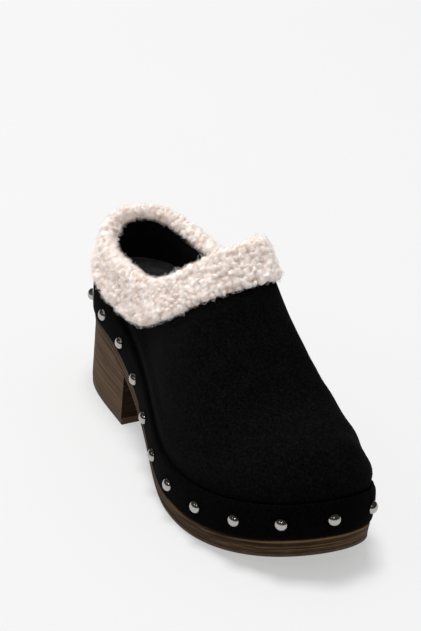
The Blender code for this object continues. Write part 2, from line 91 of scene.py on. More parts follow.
# The collar's edge, as shares of the collar's width and the instep's height
Collar = namedtuple("Collar", "station lateral lateral_height medial medial_height")
COLLAR_BACK = (0.047, 0.351)
COLLAR_FRONT = (0.536, 1.005)
COLLAR_FRONT_SHIFT = 0.140
COLLAR = (
    Collar(0.072, 0.262, 0.335, 0.310, 0.351),
    Collar(0.140, 0.475, 0.272, 0.475, 0.316),
    Collar(0.248, 0.530, 0.296, 0.515, 0.328),
    Collar(0.347, 0.515, 0.405, 0.515, 0.465),
    Collar(0.443, 0.420, 0.655, 0.475, 0.785),
    Collar(0.508, 0.240, 0.890, 0.370, 0.950),
)
Climb = namedtuple("Climb", "feather collar")
CLIMB = (
    Climb(0.00, 0.00),
    Climb(0.16, 0.22),
    Climb(0.30, 0.47),
    Climb(0.42, 0.66),
    Climb(0.60, 0.82),
    Climb(0.80, 0.92),
    Climb(1.00, 1.00),
)
VAMP_START, VAMP_FULL = 0.26, 0.50
SIDE_SWELL, SWELL_REACH, WALL_LEAN = 0.0015, 0.020, 1.1

# Rand section: shares of its thickness and height
RandPoint = namedtuple("RandPoint", "inset height")
RAND_SECTION = (
    RandPoint(0.55, 0.000),
    RandPoint(0.20, 0.035),
    RandPoint(0.03, 0.130),
    RandPoint(-0.12, 0.500),
    RandPoint(0.00, 0.850),
    RandPoint(0.18, 0.945),
    RandPoint(0.52, 1.000),
    RandPoint(0.90, 0.985),
    RandPoint(1.00, 0.930),
    RandPoint(1.00, 0.000),
)

# Cuff sizes from the back of the collar to its front
Cuff = namedtuple("Cuff", "reach drop thickness crown")
CUFF = (
    Cuff(0.00, 0.0218, 0.0060, 0.0040),
    Cuff(0.30, 0.0230, 0.0060, 0.0042),
    Cuff(0.60, 0.0242, 0.0056, 0.0046),
    Cuff(1.00, 0.0212, 0.0043, 0.0042),
)

# Cuff section: distance down the upper, and distance out from its face
CuffPoint = namedtuple("CuffPoint", "along across")
CUFF_OUTSIDE = (
    CuffPoint(0.24, 0.00),
    CuffPoint(0.48, 0.00),
    CuffPoint(0.72, 0.00),
    CuffPoint(0.96, 0.00),
    CuffPoint(1.06, 0.35),
    CuffPoint(1.03, 0.74),
    CuffPoint(0.84, 0.97),
    CuffPoint(0.50, 1.04),
    CuffPoint(0.16, 1.02),
)
CUFF_TOP = (
    CuffPoint(0.52, 0.86),
    CuffPoint(0.94, 0.42),
    CuffPoint(1.00, -0.04),
    CuffPoint(0.72, -0.50),
)
CUFF_INSIDE = (
    CuffPoint(0.25, 1.00),
    CuffPoint(0.75, 1.00),
    CuffPoint(1.04, 0.60),
    CuffPoint(1.00, 0.00),
)

# The spans of the cuff's section that bear pile: the others lie on the suede or in the collar
FIRST_PILE_SPAN, LAST_PILE_SPAN = 5, 15

# How much of the pile's length the backing gives up below, above and inside, so that the pile fills the cuff
PILE_BELOW, PILE_ABOVE, PILE_INSIDE = 1.15, 0.90, 0.45

# Curls grow only where the upward part of the cuff's normal is more than this, so its underside has none
UNDERSIDE = -0.78

# How long the pile is round the cuff's section, as shares of the full pile: span of the section, share
Pile = namedtuple("Pile", "span share")
PILE = (
    Pile(4, 0.85),
    Pile(6, 0.95),
    Pile(9, 1.00),
    Pile(11, 0.90),
    Pile(13, 0.62),
    Pile(16, 0.38),
)

# Soft creases across the vamp: where they cross the crest, how they lean, how deep, wide and long they are
Crease = namedtuple("Crease", "station lean depth width reach")
CREASES = (
    Crease(0.655, 0.10, 0.00035, 0.0035, 0.030),
    Crease(0.700, 0.05, 0.00055, 0.0045, 0.036),
    Crease(0.742, -0.04, 0.00045, 0.0040, 0.034),
)
RIDGE_HEIGHT, RIDGE_OFFSET = 0.45, 1.9
UNCREASED_BELOW, UNCREASED_ABOVE = 5, 4

# Small gathers along the rand's rolled top edge: place round the rand, depth and width
Gather = namedtuple("Gather", "place depth width")
GATHERS = (
    Gather(0.455, 0.00030, 0.0022),
    Gather(0.472, 0.00042, 0.0026),
    Gather(0.531, 0.00040, 0.0024),
    Gather(0.548, 0.00055, 0.0020),
    Gather(0.561, 0.00060, 0.0023),
    Gather(0.574, 0.00050, 0.0019),
    Gather(0.590, 0.00042, 0.0024),
    Gather(0.020, 0.00035, 0.0022),
    Gather(0.982, 0.00035, 0.0024),
)

# The dent that each stud pulls into the rand, and where up the rand its foot ends and its roll starts
DENT_DEPTH, DENT_SPREAD = 0.00038, 0.72
ROLL_START, FOOT_END, BACK_FROM, FOOT_LIMIT = 0.62, 0.12, 0.9, -0.0001

# Slight unevenness of the suede: height and cell in metres, and the noise's seed
SEED, WAVES, WAVE_SPREAD = 11, 9, (0.7, 1.5)
Wave = namedtuple("Wave", "height cell seed")
UPPER_WAVES = (Wave(0.00010, 0.024, SEED), Wave(0.00004, 0.008, SEED + 1))
RAND_WAVE, ROLL_WAVE = Wave(0.00010, 0.013, SEED + 2), Wave(0.00008, 0.0045, SEED + 3)
FOOT_WAVE = Wave(0.00022, 0.006, SEED + 4)

# Clearances between the pieces, and the small sizes of each
GAP, FLEECE_GAP = 0.0003, 0.0005
UPPER_CLEARANCE, FOOTBED_CLEARANCE = 1.5 * GAP, 2 * GAP
SEAT_DEPTH = 0.0015
EDGE_OVERHANG, EDGE_TAPER, EDGE_ROUNDING, EDGE_BROW = 0.0011, 0.0008, 0.0006, 0.0004
HEEL_FLARE, LIFT_THICKNESS, LIFT_INSET, LIFT_ROUNDING, LIFT_CORNER = 0.0009, 0.0040, 0.0002, 0.0007, 0.3
FOOTBED_THICKNESS, FOOTBED_DISH, FOOTBED_SKIVE, DISH_REACH = 0.0040, 0.0012, 0.0016, 3
FOOTBED_CORNER, FOOTBED_SHOULDER, FOOTBED_BROW = 0.6, 0.0008, 0.0001
CUFF_INNER_THICKNESS, CUFF_INNER_DROP = 0.0018, 0.0012

# The studs: where the first one and their line are, how full the dome is, its brim, and its foot as shares
STUD_FIRST, STUD_LINE, STUD_SINK = 0.0367, 0.50, 0.0002
DOME_SIDE, DOME_TOP, STUD_BRIM = 0.94, 1.08, 0.10
STUD_FOOT = ((1.01, 0.05), (0.985, 0.0))
STUD_SIDES, STUD_RINGS = 40, 12
SOLE_SHARP, STUD_SHARP = 35, 60

# How far up the heel, and how far in on the footbed's dish, their sections lie
HEEL_SHARES, DISH_SHARES = (0.0, 0.25, 0.5, 0.75), (0.1, 0.25, 0.5, 0.75, 1.0)

# Clumps of fleece and the finer knots on them: spacing and width as shares of a clump, height of the pile
CLUMP_SPACING, CLUMP_WIDTH, CLUMP_HEIGHT = 0.86, (0.44, 0.74), (0.55, 1.20)
KNOT_SPACING, KNOT_WIDTH, KNOT_HEIGHT = 0.34, (0.27, 0.36), (0.14, 0.27)
SWAY, SWAY_CELL, FUZZ, FUZZ_CELL = 0.20, 0.9, 0.05, 0.3
PILED_ENOUGH, PILE_BLUR, NEAREST_CLUMPS = 0.2, 6, 3
FUZZ_SEED, SWAY_SEED = SEED + 5, SEED + 10

# How high in the pile the mid tone and the tips begin, the lower tones being painted shade in its hollows,
# and where the cream curls and the warm curls, painted shade between the clumps, are rooted
FLEECE_LEVELS, CREAM_ABOVE, WARM_SHADE_BETWEEN = (0.40, 0.58), 0.46, (0.25, 0.60)

# Curls, in metres and radians: how many, how many stand free, how wide, and how far they turn and rise
FIBRES, FIBRE_STEPS, FREE_FIBRES, FREE_LIFT = 22000, 5, 0.30, (1.4, 3.0)
FIBRE_WIDTH, FIBRE_JITTER, FIBRE_TAPER, TAPER_POWER = (0.00008, 0.00015), 0.00018, (0.35, 2.8), 0.7
CURL_RADIUS, CURL_SWING, CURL_LIFT = (0.0005, 0.0014), (1.6, 3.8), (0.00010, 0.00070)
CURL_STRAY, CURL_START, CURL_SPAN, TINY = 0.55, 0.12, 0.80, 1e-9

# How finely each piece is drawn
FINE_STATIONS, PACKED_STATIONS, SOLE_STATIONS = 150, 34, 200
RAND_STATIONS, FOOTBED_STATIONS, CUFF_STATIONS = 260, 120, 110
UPPER_ROWS, COLLAR_ROWS, COLUMN_POINTS, CUFF_COLUMNS, CUFF_ROWS = 56, 40, 160, 780, 112
OUTLINE_POINTS, SECTION_POINTS, CUFF_POINTS, CORNER_POINTS = 2800, 56, 360, 5

# Noise in the finishes: cells to a metre, octaves, roughness, stretch and swirl
Grain = namedtuple("Grain", "scale detail rough stretch swirl", defaults=((1.0, 1.0, 1.0), 0.0))
SUEDE_NAP, SUEDE_FUZZ = Grain(760.0, 3.0, 0.72), Grain(2600.0, 4.0, 0.75)
SUEDE_BRUSHED = Grain(110.0, 4.0, 0.65, (1.0, 1.5, 1.0), 0.4)
SUEDE_LUMPS = Grain(620.0, 3.0, 0.6, (1.0, 1.3, 1.0))
LINING_PATCHES, LINING_WEAVE = Grain(160.0, 4.0, 0.65), Grain(1800.0, 3.0, 0.7)
FLEECE_PATCHES, FLEECE_FUZZ = Grain(230.0, 3.0, 0.6), Grain(3200.0, 2.0, 0.7)
WOOD_STREAKS = Grain(1.0, 5.0, 0.66, (14.0, 60.0, 620.0), 0.9)
WOOD_PORES = Grain(1.0, 3.0, 0.7, (60.0, 260.0, 2400.0), 0.2)
TREAD_PATCHES, TREAD_PITS = Grain(300.0, 5.0, 0.7), Grain(1500.0, 3.0, 0.6)
STEEL_MARKS, STEEL_DINTS = Grain(700.0, 4.0, 0.6), Grain(260.0, 2.0, 0.5)
FLOOR_PATCHES = Grain(6.0, 2.0, 0.5)

# Tones over that noise: its value, and the share of the base colour. The wood's values count from the middle
SUEDE_TONES = ((0.34, 0.45), (0.48, 0.95), (0.58, 1.6), (0.70, 2.8))
LINING_TONES = ((0.35, 0.7), (0.7, 1.5))
FLEECE_TONES = ((0.34, (0.95, 0.91, 0.88)), (0.60, 1.0), (0.78, 1.05))
WOOD_TONES = ((-0.14, 0.22), (-0.04, 0.66), (0.05, 1.10), (0.16, 2.60))
TREAD_TONES = ((0.3, 0.7), (0.7, 1.3))
FLOOR_TONES = ((0.3, 0.995), (0.7, 1.0))
BRUSHED_SHARE, PORES_SHARE = 0.16, 0.32
WOOD_ROUGHNESS, STEEL_ROUGHNESS = (0.55, 0.80), (0.13, 0.24)

# How strongly the noise embosses a finish, and over what distance in metres
Relief = namedtuple("Relief", "strength distance")
FUZZ_RELIEF, LUMPS_RELIEF = Relief(0.45, 0.00014), Relief(0.28, 0.00022)
LINING_RELIEF, FLEECE_RELIEF, WOOD_RELIEF = Relief(0.5, 0.00018), Relief(0.35, 0.00015), Relief(0.35, 0.00018)
TREAD_RELIEF, STEEL_RELIEF = Relief(0.35, 0.00012), Relief(0.06, 0.0001)

# Stains on the wood, the breast's darker one also painted shade under the arch; shares of the base for dark
# goods; and the fleece's deeper tones, painted shade low in its pile and between its clumps
HEEL_STAIN, EDGE_STAIN, BREAST_STAIN_AND_SHADE = (1.03, 1.0, 0.97), (0.62, 0.56, 0.46), (0.26, 0.185, 0.125)
HEEL_CONTRAST, EDGE_CONTRAST = 0.82, 1.9
UPPER_SUEDE, RAND_SUEDE, UPPER_LINING, BOARD_LINING, FOOTBED_LINING = 1.05, 0.6, 0.6, 0.5, 1.6
# The fleece's root and mid tones: painted shade, darker the lower it lies in the pile
FLEECE_ROOT_SHADE, FLEECE_MID_SHADE = (0.60, 0.460, 0.380), (0.805, 0.692, 0.622)
# The warm curls, warmer and darker than the cream ones, are painted shade between the clumps
CREAM_CURLS, WARM_SHADE_CURLS = 0.955, (0.81, 0.695, 0.625)

# The lights: where each stands and its size in metres, its power in watts, if steel mirrors it, if it shades
Lamp = namedtuple("Lamp", "name stands size power mirrored shades")
LAMPS = (
    Lamp("overhead_softbox", (-0.25, -0.35, 4.6), 1.5, 163.0, False, True),
    Lamp("left_softbox", (-3.9, -1.9, 3.2), 2.6, 132.0, False, False),
    Lamp("front_softbox", (1.30, -0.80, 1.55), 0.20, 2.0, True, True),
    Lamp("window_strip", (0.2, -1.9, 1.6), 0.20, 1.1, True, True),
)
LAMPS_AIM = (0.0, 0.0, 0.03)
FLOOR_SIZE, ROOM_RADIUS, NEAREST_SEEN = 12.0, 6.0, 0.05
WHITE, BLACK, WARM_WHITE = (1.0, 1.0, 1.0, 1.0), (0.0, 0.0, 0.0, 1.0), (1.0, 0.97, 0.94, 1.0)


def metres(name, description, default):
    """A length that the user may change."""
    return FloatProperty(name=name, description=description, default=default, unit="LENGTH")


def degrees(name, description, default):
    """An angle that the user may change, given here in degrees."""
    return FloatProperty(name=name, description=description, default=math.radians(default), subtype="ANGLE")


def paint(name, description, default):
    """A colour that the user may change."""
    return FloatVectorProperty(name=name, description=description, default=default, subtype="COLOR")


class ClogSizes(bpy.types.PropertyGroup):
    """Sizes of the clog, as its pattern gives them."""

    length: metres("Length", "Length over the rand", 0.262)
    ball_width: metres("Ball width", "Width at the ball", 0.100)
    waist_width: metres("Waist width", "Width at the waist", 0.077)
    heel_width: metres("Heel width", "Width at the heel", 0.069)
    heel_rise: metres("Heel rise", "Rise of the sole at the heel", 0.037)
    toe_spring: metres("Toe spring", "Rise of the toe tip", 0.018)
    outsole: metres("Outsole", "Thickness of the outsole", 0.0024)
    edge_height: metres("Edge", "Height of the bare wood edge", 0.008)
    rand_height: metres("Rand height", "Height of the rand", 0.021)
    rand_thickness: metres("Rand", "Thickness of the rand", 0.0028)
    heel_breast: metres("Heel breast", "Length of the heel", 0.0765)
    wall: metres("Wall", "Thickness of the upper", 0.0021)
    instep_height: metres("Instep", "Height at the collar's front", 0.098)
    toe_box_height: metres("Toe box", "Height of the toe box", 0.035)
    collar_width: metres("Collar width", "Width of the collar", 0.050)
    pile: metres("Pile", "How far the fleece's clumps stand out", 0.0024)
    clump: metres("Clump", "Distance between clumps of fleece", 0.0034)
    stud_diameter: metres("Stud", "Diameter of a stud", 0.0070)
    stud_height: metres("Stud height", "Height of a stud", 0.0030)
    stud_count: IntProperty(name="Studs", description="Studs round the rand", default=23)


class ClogColours(bpy.types.PropertyGroup):
    """Colours of the clog's materials."""

    suede: paint("Suede", "Black suede", (0.0022, 0.0022, 0.00225))
    fleece: paint("Fleece", "Cream fleece", (0.96, 0.900, 0.862))
    wood: paint("Wood", "Mid tone of the wood effect", (0.088, 0.056, 0.033))
    tread: paint("Tread", "Outsole and top lift", (0.055, 0.034, 0.020))
    steel: paint("Steel", "Polished studs", (0.43, 0.415, 0.395))
    lining: paint("Lining", "Lining and footbed", (0.009, 0.009, 0.0095))
    floor: paint("Floor", "Studio floor", (0.42, 0.42, 0.42))


class ClogView(bpy.types.PropertyGroup):
    """Where the camera stands round the shoe, and the light of the floor and the room."""

    azimuth: degrees("Azimuth", "Turn round the shoe", 60.71)
    elevation: degrees("Elevation", "Height angle", 26.77)
    roll: degrees("Roll", "Lean of the camera", 3.56)
    distance: metres("Distance", "Camera to aim point", 1.076)
    lens: FloatProperty(name="Lens", description="Focal length in millimetres", default=111.76)
    floor_glow: FloatProperty(name="Floor glow", description="Light that the floor gives off", default=0.35)
    room: FloatProperty(name="Room", description="Light that the room's walls give off", default=0.33)
    mirrored_room: FloatProperty(
        name="Mirrored room", description="Room light that polished steel mirrors", default=0.055
    )
    aim: FloatVectorProperty(
        name="Aim",
        description="Point that the camera looks at",
        default=(-0.0150, 0.0034, 0.0838),
        subtype="TRANSLATION",
    )


def sizes():
    return bpy.context.scene.clog_sizes


def colours():
    return bpy.context.scene.clog_colours


def smooth_step(share):
    share = np.clip(share, 0.0, 1.0)
    return share * share * (3.0 - 2.0 * share)


def smooth_table(where, places, values):
    """A smooth curve through a table that never swings past its rows."""
    x, y = np.asarray(places, float), np.asarray(values, float)
    step, rise = np.diff(x), np.diff(y) / np.diff(x)
    slope = np.zeros_like(y)
    for i in range(1, len(y) - 1):
        if rise[i - 1] * rise[i] > 0:
            a, b = 2 * step[i] + step[i - 1], step[i] + 2 * step[i - 1]
            slope[i] = (a + b) / (a / rise[i - 1] + b / rise[i])
    slope[0], slope[-1] = rise[0], rise[-1]
    where = np.clip(where, x[0], x[-1])
    i = np.clip(np.searchsorted(x, where) - 1, 0, len(x) - 2)
    t = (where - x[i]) / step[i]
    start = (1 + 2 * t) * (1 - t) ** 2 * y[i] + t * (1 - t) ** 2 * step[i] * slope[i]
    return start + t * t * (3 - 2 * t) * y[i + 1] + t * t * (t - 1) * step[i] * slope[i + 1]


def closed_spline(points, count):
    """A smooth closed curve through a few points, and the span that each point along it lies in."""
    p = np.asarray(points, float)
    n = len(p)
    gap = np.sqrt(np.linalg.norm(np.roll(p, -1, 0) - p, axis=1))
    system, right = np.zeros((n, n)), np.zeros_like(p)
    for i in range(n):
        before, after = gap[i - 1], gap[i]
        system[i, i - 1], system[i, i], system[i, (i + 1) % n] = after, 2 * (before + after), before
        rise_before, rise_after = (p[i] - p[i - 1]) / before, (p[(i + 1) % n] - p[i]) / after
        right[i] = 3 * (after * rise_before + before * rise_after)
    tangent = np.linalg.solve(system, right)
    knots = np.r_[0, np.cumsum(gap)]
    u = np.linspace(0, knots[-1], count, endpoint=False)
    i = np.clip(np.searchsorted(knots, u, side="right") - 1, 0, n - 1)
    j = (i + 1) % n
    t, h = ((u - knots[i]) / gap[i])[:, None], gap[i][:, None]
    start = (1 + 2 * t) * (1 - t) ** 2 * p[i] + t * (1 - t) ** 2 * h * tangent[i]
    return start + t * t * (3 - 2 * t) * p[j] + t * t * (t - 1) * h * tangent[j], i


def walked_along(curve):
    """Distance walked to each point of an open curve."""
    return np.r_[0, np.cumsum(np.linalg.norm(np.diff(curve, axis=0), axis=1))]


def along_curve(curve, shares):
    walked = walked_along(curve)
    where = np.asarray(shares) * walked[-1]
    return np.stack([np.interp(where, walked, axis) for axis in curve.T], axis=1)


def plan_outline():
    """The rand's outer line in plan, from the heel up the lateral side and back down the medial side."""
    s = sizes()
    side = [(row.station * s.length, -row.lateral * getattr(s, row.follows)) for row in OUTLINE]
    other = [(row.station * s.length, row.medial * getattr(s, row.follows)) for row in reversed(OUTLINE)]
    tip = (s.length, TOE_TIP_SHIFT * s.ball_width)
    curve, _ = closed_spline([(0.0, 0.0), *side, tip, *other], OUTLINE_POINTS)
    return np.roll(curve, -int(np.argmin(curve[:, 0])), axis=0)


def stations(half=FINE_STATIONS):
    """The same number of points down each side, opposite points at the same distance from the heel."""
    curve = plan_outline()
    toe = int(np.argmax(curve[:, 0]))
    share = (1 - np.cos(np.pi * np.arange(half + 1) / half)) / 2
    x = curve[0, 0] + (curve[toe, 0] - curve[0, 0]) * share
    lateral, medial = curve[: toe + 1], np.vstack([curve[toe:], curve[:1]])[::-1]
    down = np.interp(x, lateral[:, 0], lateral[:, 1])
    up = np.interp(x, medial[:, 0], medial[:, 1])
    up[0], up[-1] = down[0], down[-1] = curve[0, 1], curve[toe, 1]
    return np.vstack([np.c_[x, down], np.c_[x, up][-2:0:-1]])


def outward(ring):
    """Unit normals that point out of a closed ring in plan."""
    along = np.roll(ring, -1, 0)[:, :2] - np.roll(ring, 1, 0)[:, :2]
    normal = np.c_[along[:, 1], -along[:, 0]]
    return normal / np.linalg.norm(normal, axis=1)[:, None]


def underside(x):
    """Height of the outsole's lower face at a distance from the heel."""
    s = sizes()
    station = np.asarray(x) / s.length
    rise = smooth_step((TREAD_START_STATION - station) / (TREAD_START_STATION - HEEL_SEAT_STATION))
    spring = np.clip((station - TREAD_END_STATION) / (1 - TREAD_END_STATION), 0, None)
    return s.heel_rise * rise + s.toe_spring * spring**2


def ring_at(base, inset, above):
    """The outline moved inwards, at a height above the underside. Both may differ along the ring."""
    plan = base - outward(base) * np.reshape(inset, (-1, 1))
    return np.c_[plan, underside(plan[:, 0]) + above]


def rand_foot():
    return sizes().outsole + sizes().edge_height


def feather_height():
    """Height above the underside at which the upper stands."""
    return rand_foot() + sizes().rand_height - SEAT_DEPTH


def seat_in_frame():
    """How far the pattern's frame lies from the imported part's, by the rand's box in both."""
    s = sizes()
    bulge = min(p.inset for p in RAND_SECTION) * s.rand_thickness
    ring = ring_at(stations(PACKED_STATIONS), bulge, 0.0)
    low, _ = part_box("rand")
    return Vector((low.x - ring[:, 0].min(), low.y - ring[:, 1].min(), 0.0))


def lattice(points, looped_rows=False, looped_columns=True):
    """Quads over a grid of points, rows by columns."""
    rows, columns = points.shape[:2]
    index = np.arange(rows * columns).reshape(rows, columns)
    up = np.roll(index, -1, 0) if looped_rows else index[1:]
    low = index if looped_rows else index[:-1]
    if not looped_columns:
        return np.stack([low[:, :-1], low[:, 1:], up[:, 1:], up[:, :-1]], -1).reshape(-1, 4)
    side = np.roll(low, -1, 1)
    side_up = np.roll(up, -1, 1)
    return np.stack([low, side, side_up, up], -1).reshape(-1, 4)


def make_mesh(name, points, faces, finishes, slot, face_finish=None, sharp=None):
    """A smooth mesh object in the part's frame that rides on the root body and takes the finishes given."""
    mesh = bpy.data.meshes.new(name)
    moved = np.asarray(points, float).reshape(-1, 3) + np.array(seat_in_frame())
    mesh.from_pydata(moved.tolist(), [], [list(face) for face in faces])
    for finish in finishes:
        mesh.materials.append(finish)
    if face_finish is not None:
        mesh.polygons.foreach_set("material_index", face_finish)
    mesh.shade_smooth()
    if sharp is not None:
        mesh.set_sharp_from_angle(angle=math.radians(sharp))
    mesh.validate()
    made = bpy.data.objects.new(name, mesh)
    bpy.context.scene.collection.objects.link(made)
    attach(made, "root")
    return made


def ripple(points, cell, seed):
    """Smooth seeded noise between -1 and 1 over space, from a few waves in fixed directions."""
    rng = np.random.default_rng(seed)
    total = np.zeros(len(points))
    for _ in range(WAVES):
        way = rng.normal(size=3)
        way *= 2 * np.pi / (cell * rng.uniform(*WAVE_SPREAD)) / np.linalg.norm(way)
        total += np.sin(points @ way + rng.uniform(0, 2 * np.pi))
    return 2 * total / WAVES


def uneven(points, wave):
    """Unevenness in metres at each point."""
    return wave.height * ripple(points, wave.cell, wave.seed)


def last_height(x, y, feather, half):
    """Height of the last at a place in plan, inside the feather line."""
    s = sizes()
    lateral, medial = feather[: half + 1], np.vstack([feather[half:], feather[:1]])[::-1]
    low = np.interp(x, lateral[:, 0], lateral[:, 1])
    high = np.interp(x, medial[:, 0], medial[:, 1])
    station = x / s.length
    places = [row.station for row in CREST]
    crest = smooth_table(station, places, [row.height * getattr(s, row.follows) for row in CREST])
    toe_x = lateral[-1, 0]
    toe = np.clip((x - (toe_x - TOE_BOX_LENGTH)) / TOE_BOX_LENGTH, 0, 1)
    crest = crest * (1 - toe**TOE_ROUNDING) ** (1 / TOE_FULLNESS)
    ridge = (low + high) / 2 + CREST_SHIFT * (high - low)
    left = smooth_table(station, places, [row.lateral_fullness for row in CREST])
    right = smooth_table(station, places, [row.medial_fullness for row in CREST])
    full = np.where(y < ridge, left, right)
    reach = np.where(y < ridge, ridge - low, high - ridge)
    sideways = np.clip(np.abs(y - ridge) / np.maximum(reach, GAP), 0, 1)
    return underside(x) + feather_height() + crest * (1 - sideways**full) ** (1 / (SIDE_FULLNESS * full))


def collar_line():
    """The upper's top edge: the lateral half and the medial half, both from the back to the front."""
    s = sizes()

    def point(station, sideways, height):
        x = station * s.length
        return (x, sideways, underside(x) + feather_height() + height * s.instep_height)

    lateral = [point(r.station, -r.lateral * s.collar_width, r.lateral_height) for r in COLLAR]
    medial = [point(r.station, r.medial * s.collar_width, r.medial_height) for r in reversed(COLLAR)]
    back = point(COLLAR_BACK[0], 0.0, COLLAR_BACK[1])
    front = point(COLLAR_FRONT[0], COLLAR_FRONT_SHIFT * s.collar_width, COLLAR_FRONT[1])
    curve, _ = closed_spline([back, *lateral, front, *medial], OUTLINE_POINTS)
    toward_front = int(np.argmax(curve[:, 0]))
    return curve[: toward_front + 1], np.vstack([curve[toward_front:], curve[:1]])[::-1]


def upper_column(foot, head, away, vamp, feather, half, rows):
    """One line up the upper's outer face, from the feather line to the collar."""
    t = np.linspace(0, 1, COLUMN_POINTS)
    wall = foot + (head - foot) * np.c_[t**WALL_LEAN, t**WALL_LEAN, t]
    g = t**2
    plan = foot[:2] + (head[:2] - foot[:2]) * g[:, None]
    height = last_height(plan[:, 0], plan[:, 1], feather, half)
    height = height + (head[2] - height[-1]) * smooth_step(g)
    height[0] = foot[2]
    line = wall * (1 - vamp) + np.c_[plan, height] * vamp
    swell = SIDE_SWELL * np.sin(np.pi * np.clip(walked_along(line) / SWELL_REACH, 0, 1)) ** 2
    line[:, :2] += away * swell[:, None]
    return along_curve(line, np.linspace(0, 1, rows + 1))


def upper_grid(half=FINE_STATIONS, rows=UPPER_ROWS):
    """The upper's outer face as rows of points, from the feather line up to the collar."""
    base = stations(half)
    count = len(base)
    feather = ring_at(base, sizes().rand_thickness + UPPER_CLEARANCE, feather_height())
    away = outward(feather)
    lateral, medial = collar_line()
    found = [None] * count
    for half_way, line in ((range(0, half + 1), lateral), (range(count, half, -1), medial)):
        order = list(half_way)
        path = feather[[i % count for i in order]]
        if order[-1] != half:
            path = np.vstack([path, feather[half]])
        walked = walked_along(path)
        share = walked[: len(order)] / walked[-1]
        heads = along_curve(line, smooth_table(share, [c.feather for c in CLIMB], [c.collar for c in CLIMB]))
        for i, head, place in zip(order, heads, share):
            i %= count
            vamp = float(smooth_step((place - VAMP_START) / (VAMP_FULL - VAMP_START)))
            found[i] = upper_column(feather[i], head, away[i], vamp, feather, half, rows)
    return np.array(found).transpose(1, 0, 2)


def grid_normals(grid):
    """Unit normals out of the upper's face at each point of its grid."""
    normal = np.cross(np.roll(grid, -1, 1) - np.roll(grid, 1, 1), np.gradient(grid, axis=0))
    return normal / np.linalg.norm(normal, axis=2)[..., None]


def creased(grid, normals):
    """The upper's face with its soft creases and the slight unevenness of lasted suede."""
    s = sizes()
    flat = grid.reshape(-1, 3)
    depth = np.zeros(len(flat))
    for crease in CREASES:
        centre_x = (crease.station + crease.lean * flat[:, 1] / s.ball_width) * s.length
        off = (flat[:, 0] - centre_x) / crease.width
        side = np.abs(flat[:, 1]) / crease.reach
        ridges = RIDGE_HEIGHT * np.exp(-((np.abs(off) - RIDGE_OFFSET) ** 2))
        depth -= crease.depth * (np.exp(-(off**2)) - ridges) * np.exp(-(side**4))
    for wave in UPPER_WAVES:
        depth += uneven(flat, wave)
    row = np.arange(len(grid))
    edge = smooth_step(row / UNCREASED_BELOW) * smooth_step((len(grid) - 1 - row) / UNCREASED_ABOVE)
    return grid + normals * (depth.reshape(grid.shape[:2]) * edge[:, None])[..., None]


def node(tree, kind, values=(), **settings):
    """A shader node with its settings and unlinked socket values."""
    made = tree.nodes.new(kind)
    for name, value in settings.items():
        setattr(made, name, value)
    for name, value in dict(values).items():
        made.inputs[name].default_value = value
    return made


def new_finish(name, sockets):
    """A material with its Principled shader's own sockets set."""
    made = bpy.data.materials.new(name)
    made.use_nodes = True
    shader = made.node_tree.nodes["Principled BSDF"]
    for socket, value in sockets.items():
        shader.inputs[socket].default_value = value
    return made, made.node_tree, shader


def place(tree, stretch, along):
    """The piece's own coordinates in metres, or an attribute of its mesh, stretched."""
    mapping = node(tree, "ShaderNodeMapping", {"Scale": stretch})
    if along is None:
        where = node(tree, "ShaderNodeTexCoord").outputs["Object"]
    else:
        where = node(tree, "ShaderNodeAttribute", attribute_name=along).outputs["Vector"]
    tree.links.new(where, mapping.inputs["Vector"])
    return mapping.outputs["Vector"]


def noise(tree, grain, along=None):
    """Noise over the piece's own coordinates, or over an attribute of its mesh."""
    made = node(
        tree,
        "ShaderNodeTexNoise",
        {"Scale": grain.scale, "Detail": grain.detail, "Roughness": grain.rough, "Distortion": grain.swirl},
    )
    tree.links.new(place(tree, grain.stretch, along), made.inputs["Vector"])
    return made.outputs["Fac"]


def mixed(tree, first, second, share):
    """Two factors mixed. The share is the second one's."""
    made = node(tree, "ShaderNodeMix", {"Factor": share})
    tree.links.new(first, made.inputs[2])
    tree.links.new(second, made.inputs[3])
    return made.outputs[0]


def ramp(tree, factor, stops):
    """A colour ramp over a factor. Each stop is a place and a colour."""
    made = node(tree, "ShaderNodeValToRGB")
    made.color_ramp.interpolation = "EASE"
    for i, (where, colour) in enumerate(stops):
        stop = made.color_ramp.elements[i] if i < 2 else made.color_ramp.elements.new(where)
        stop.position = where
        stop.color = (*colour, 1.0)
    tree.links.new(factor, made.inputs["Fac"])
    return made.outputs["Color"]


def spread(tree, factor, low, high):
    """A factor spread over a range of values."""
    made = node(tree, "ShaderNodeMapRange", {"To Min": low, "To Max": high})
    tree.links.new(factor, made.inputs["Value"])
    return made.outputs["Result"]


def emboss(tree, shader, *layers):
    """Bump layers on a shader. Each layer is a height and a relief."""
    under = None
    for height, relief in layers:
        made = node(tree, "ShaderNodeBump", {"Strength": relief.strength, "Distance": relief.distance})
        tree.links.new(height, made.inputs["Height"])
        if under is not None:
            tree.links.new(under, made.inputs["Normal"])
        under = made.outputs["Normal"]
    tree.links.new(under, shader.inputs["Normal"])


def tinted(colour, share):
    """A colour times a share, or times a share for each of its channels."""
    shares = np.broadcast_to(share, 3).tolist()
    return tuple(min(1.0, channel * part) for channel, part in zip(colour, shares))


def painted(tree, shader, factor, base, tones):
    """Colours a shader by a factor. Each tone is a value of the factor and a share of the base colour."""
    stops = [(where, tinted(base, share)) for where, share in tones]
    tree.links.new(ramp(tree, factor, stops), shader.inputs["Base Color"])


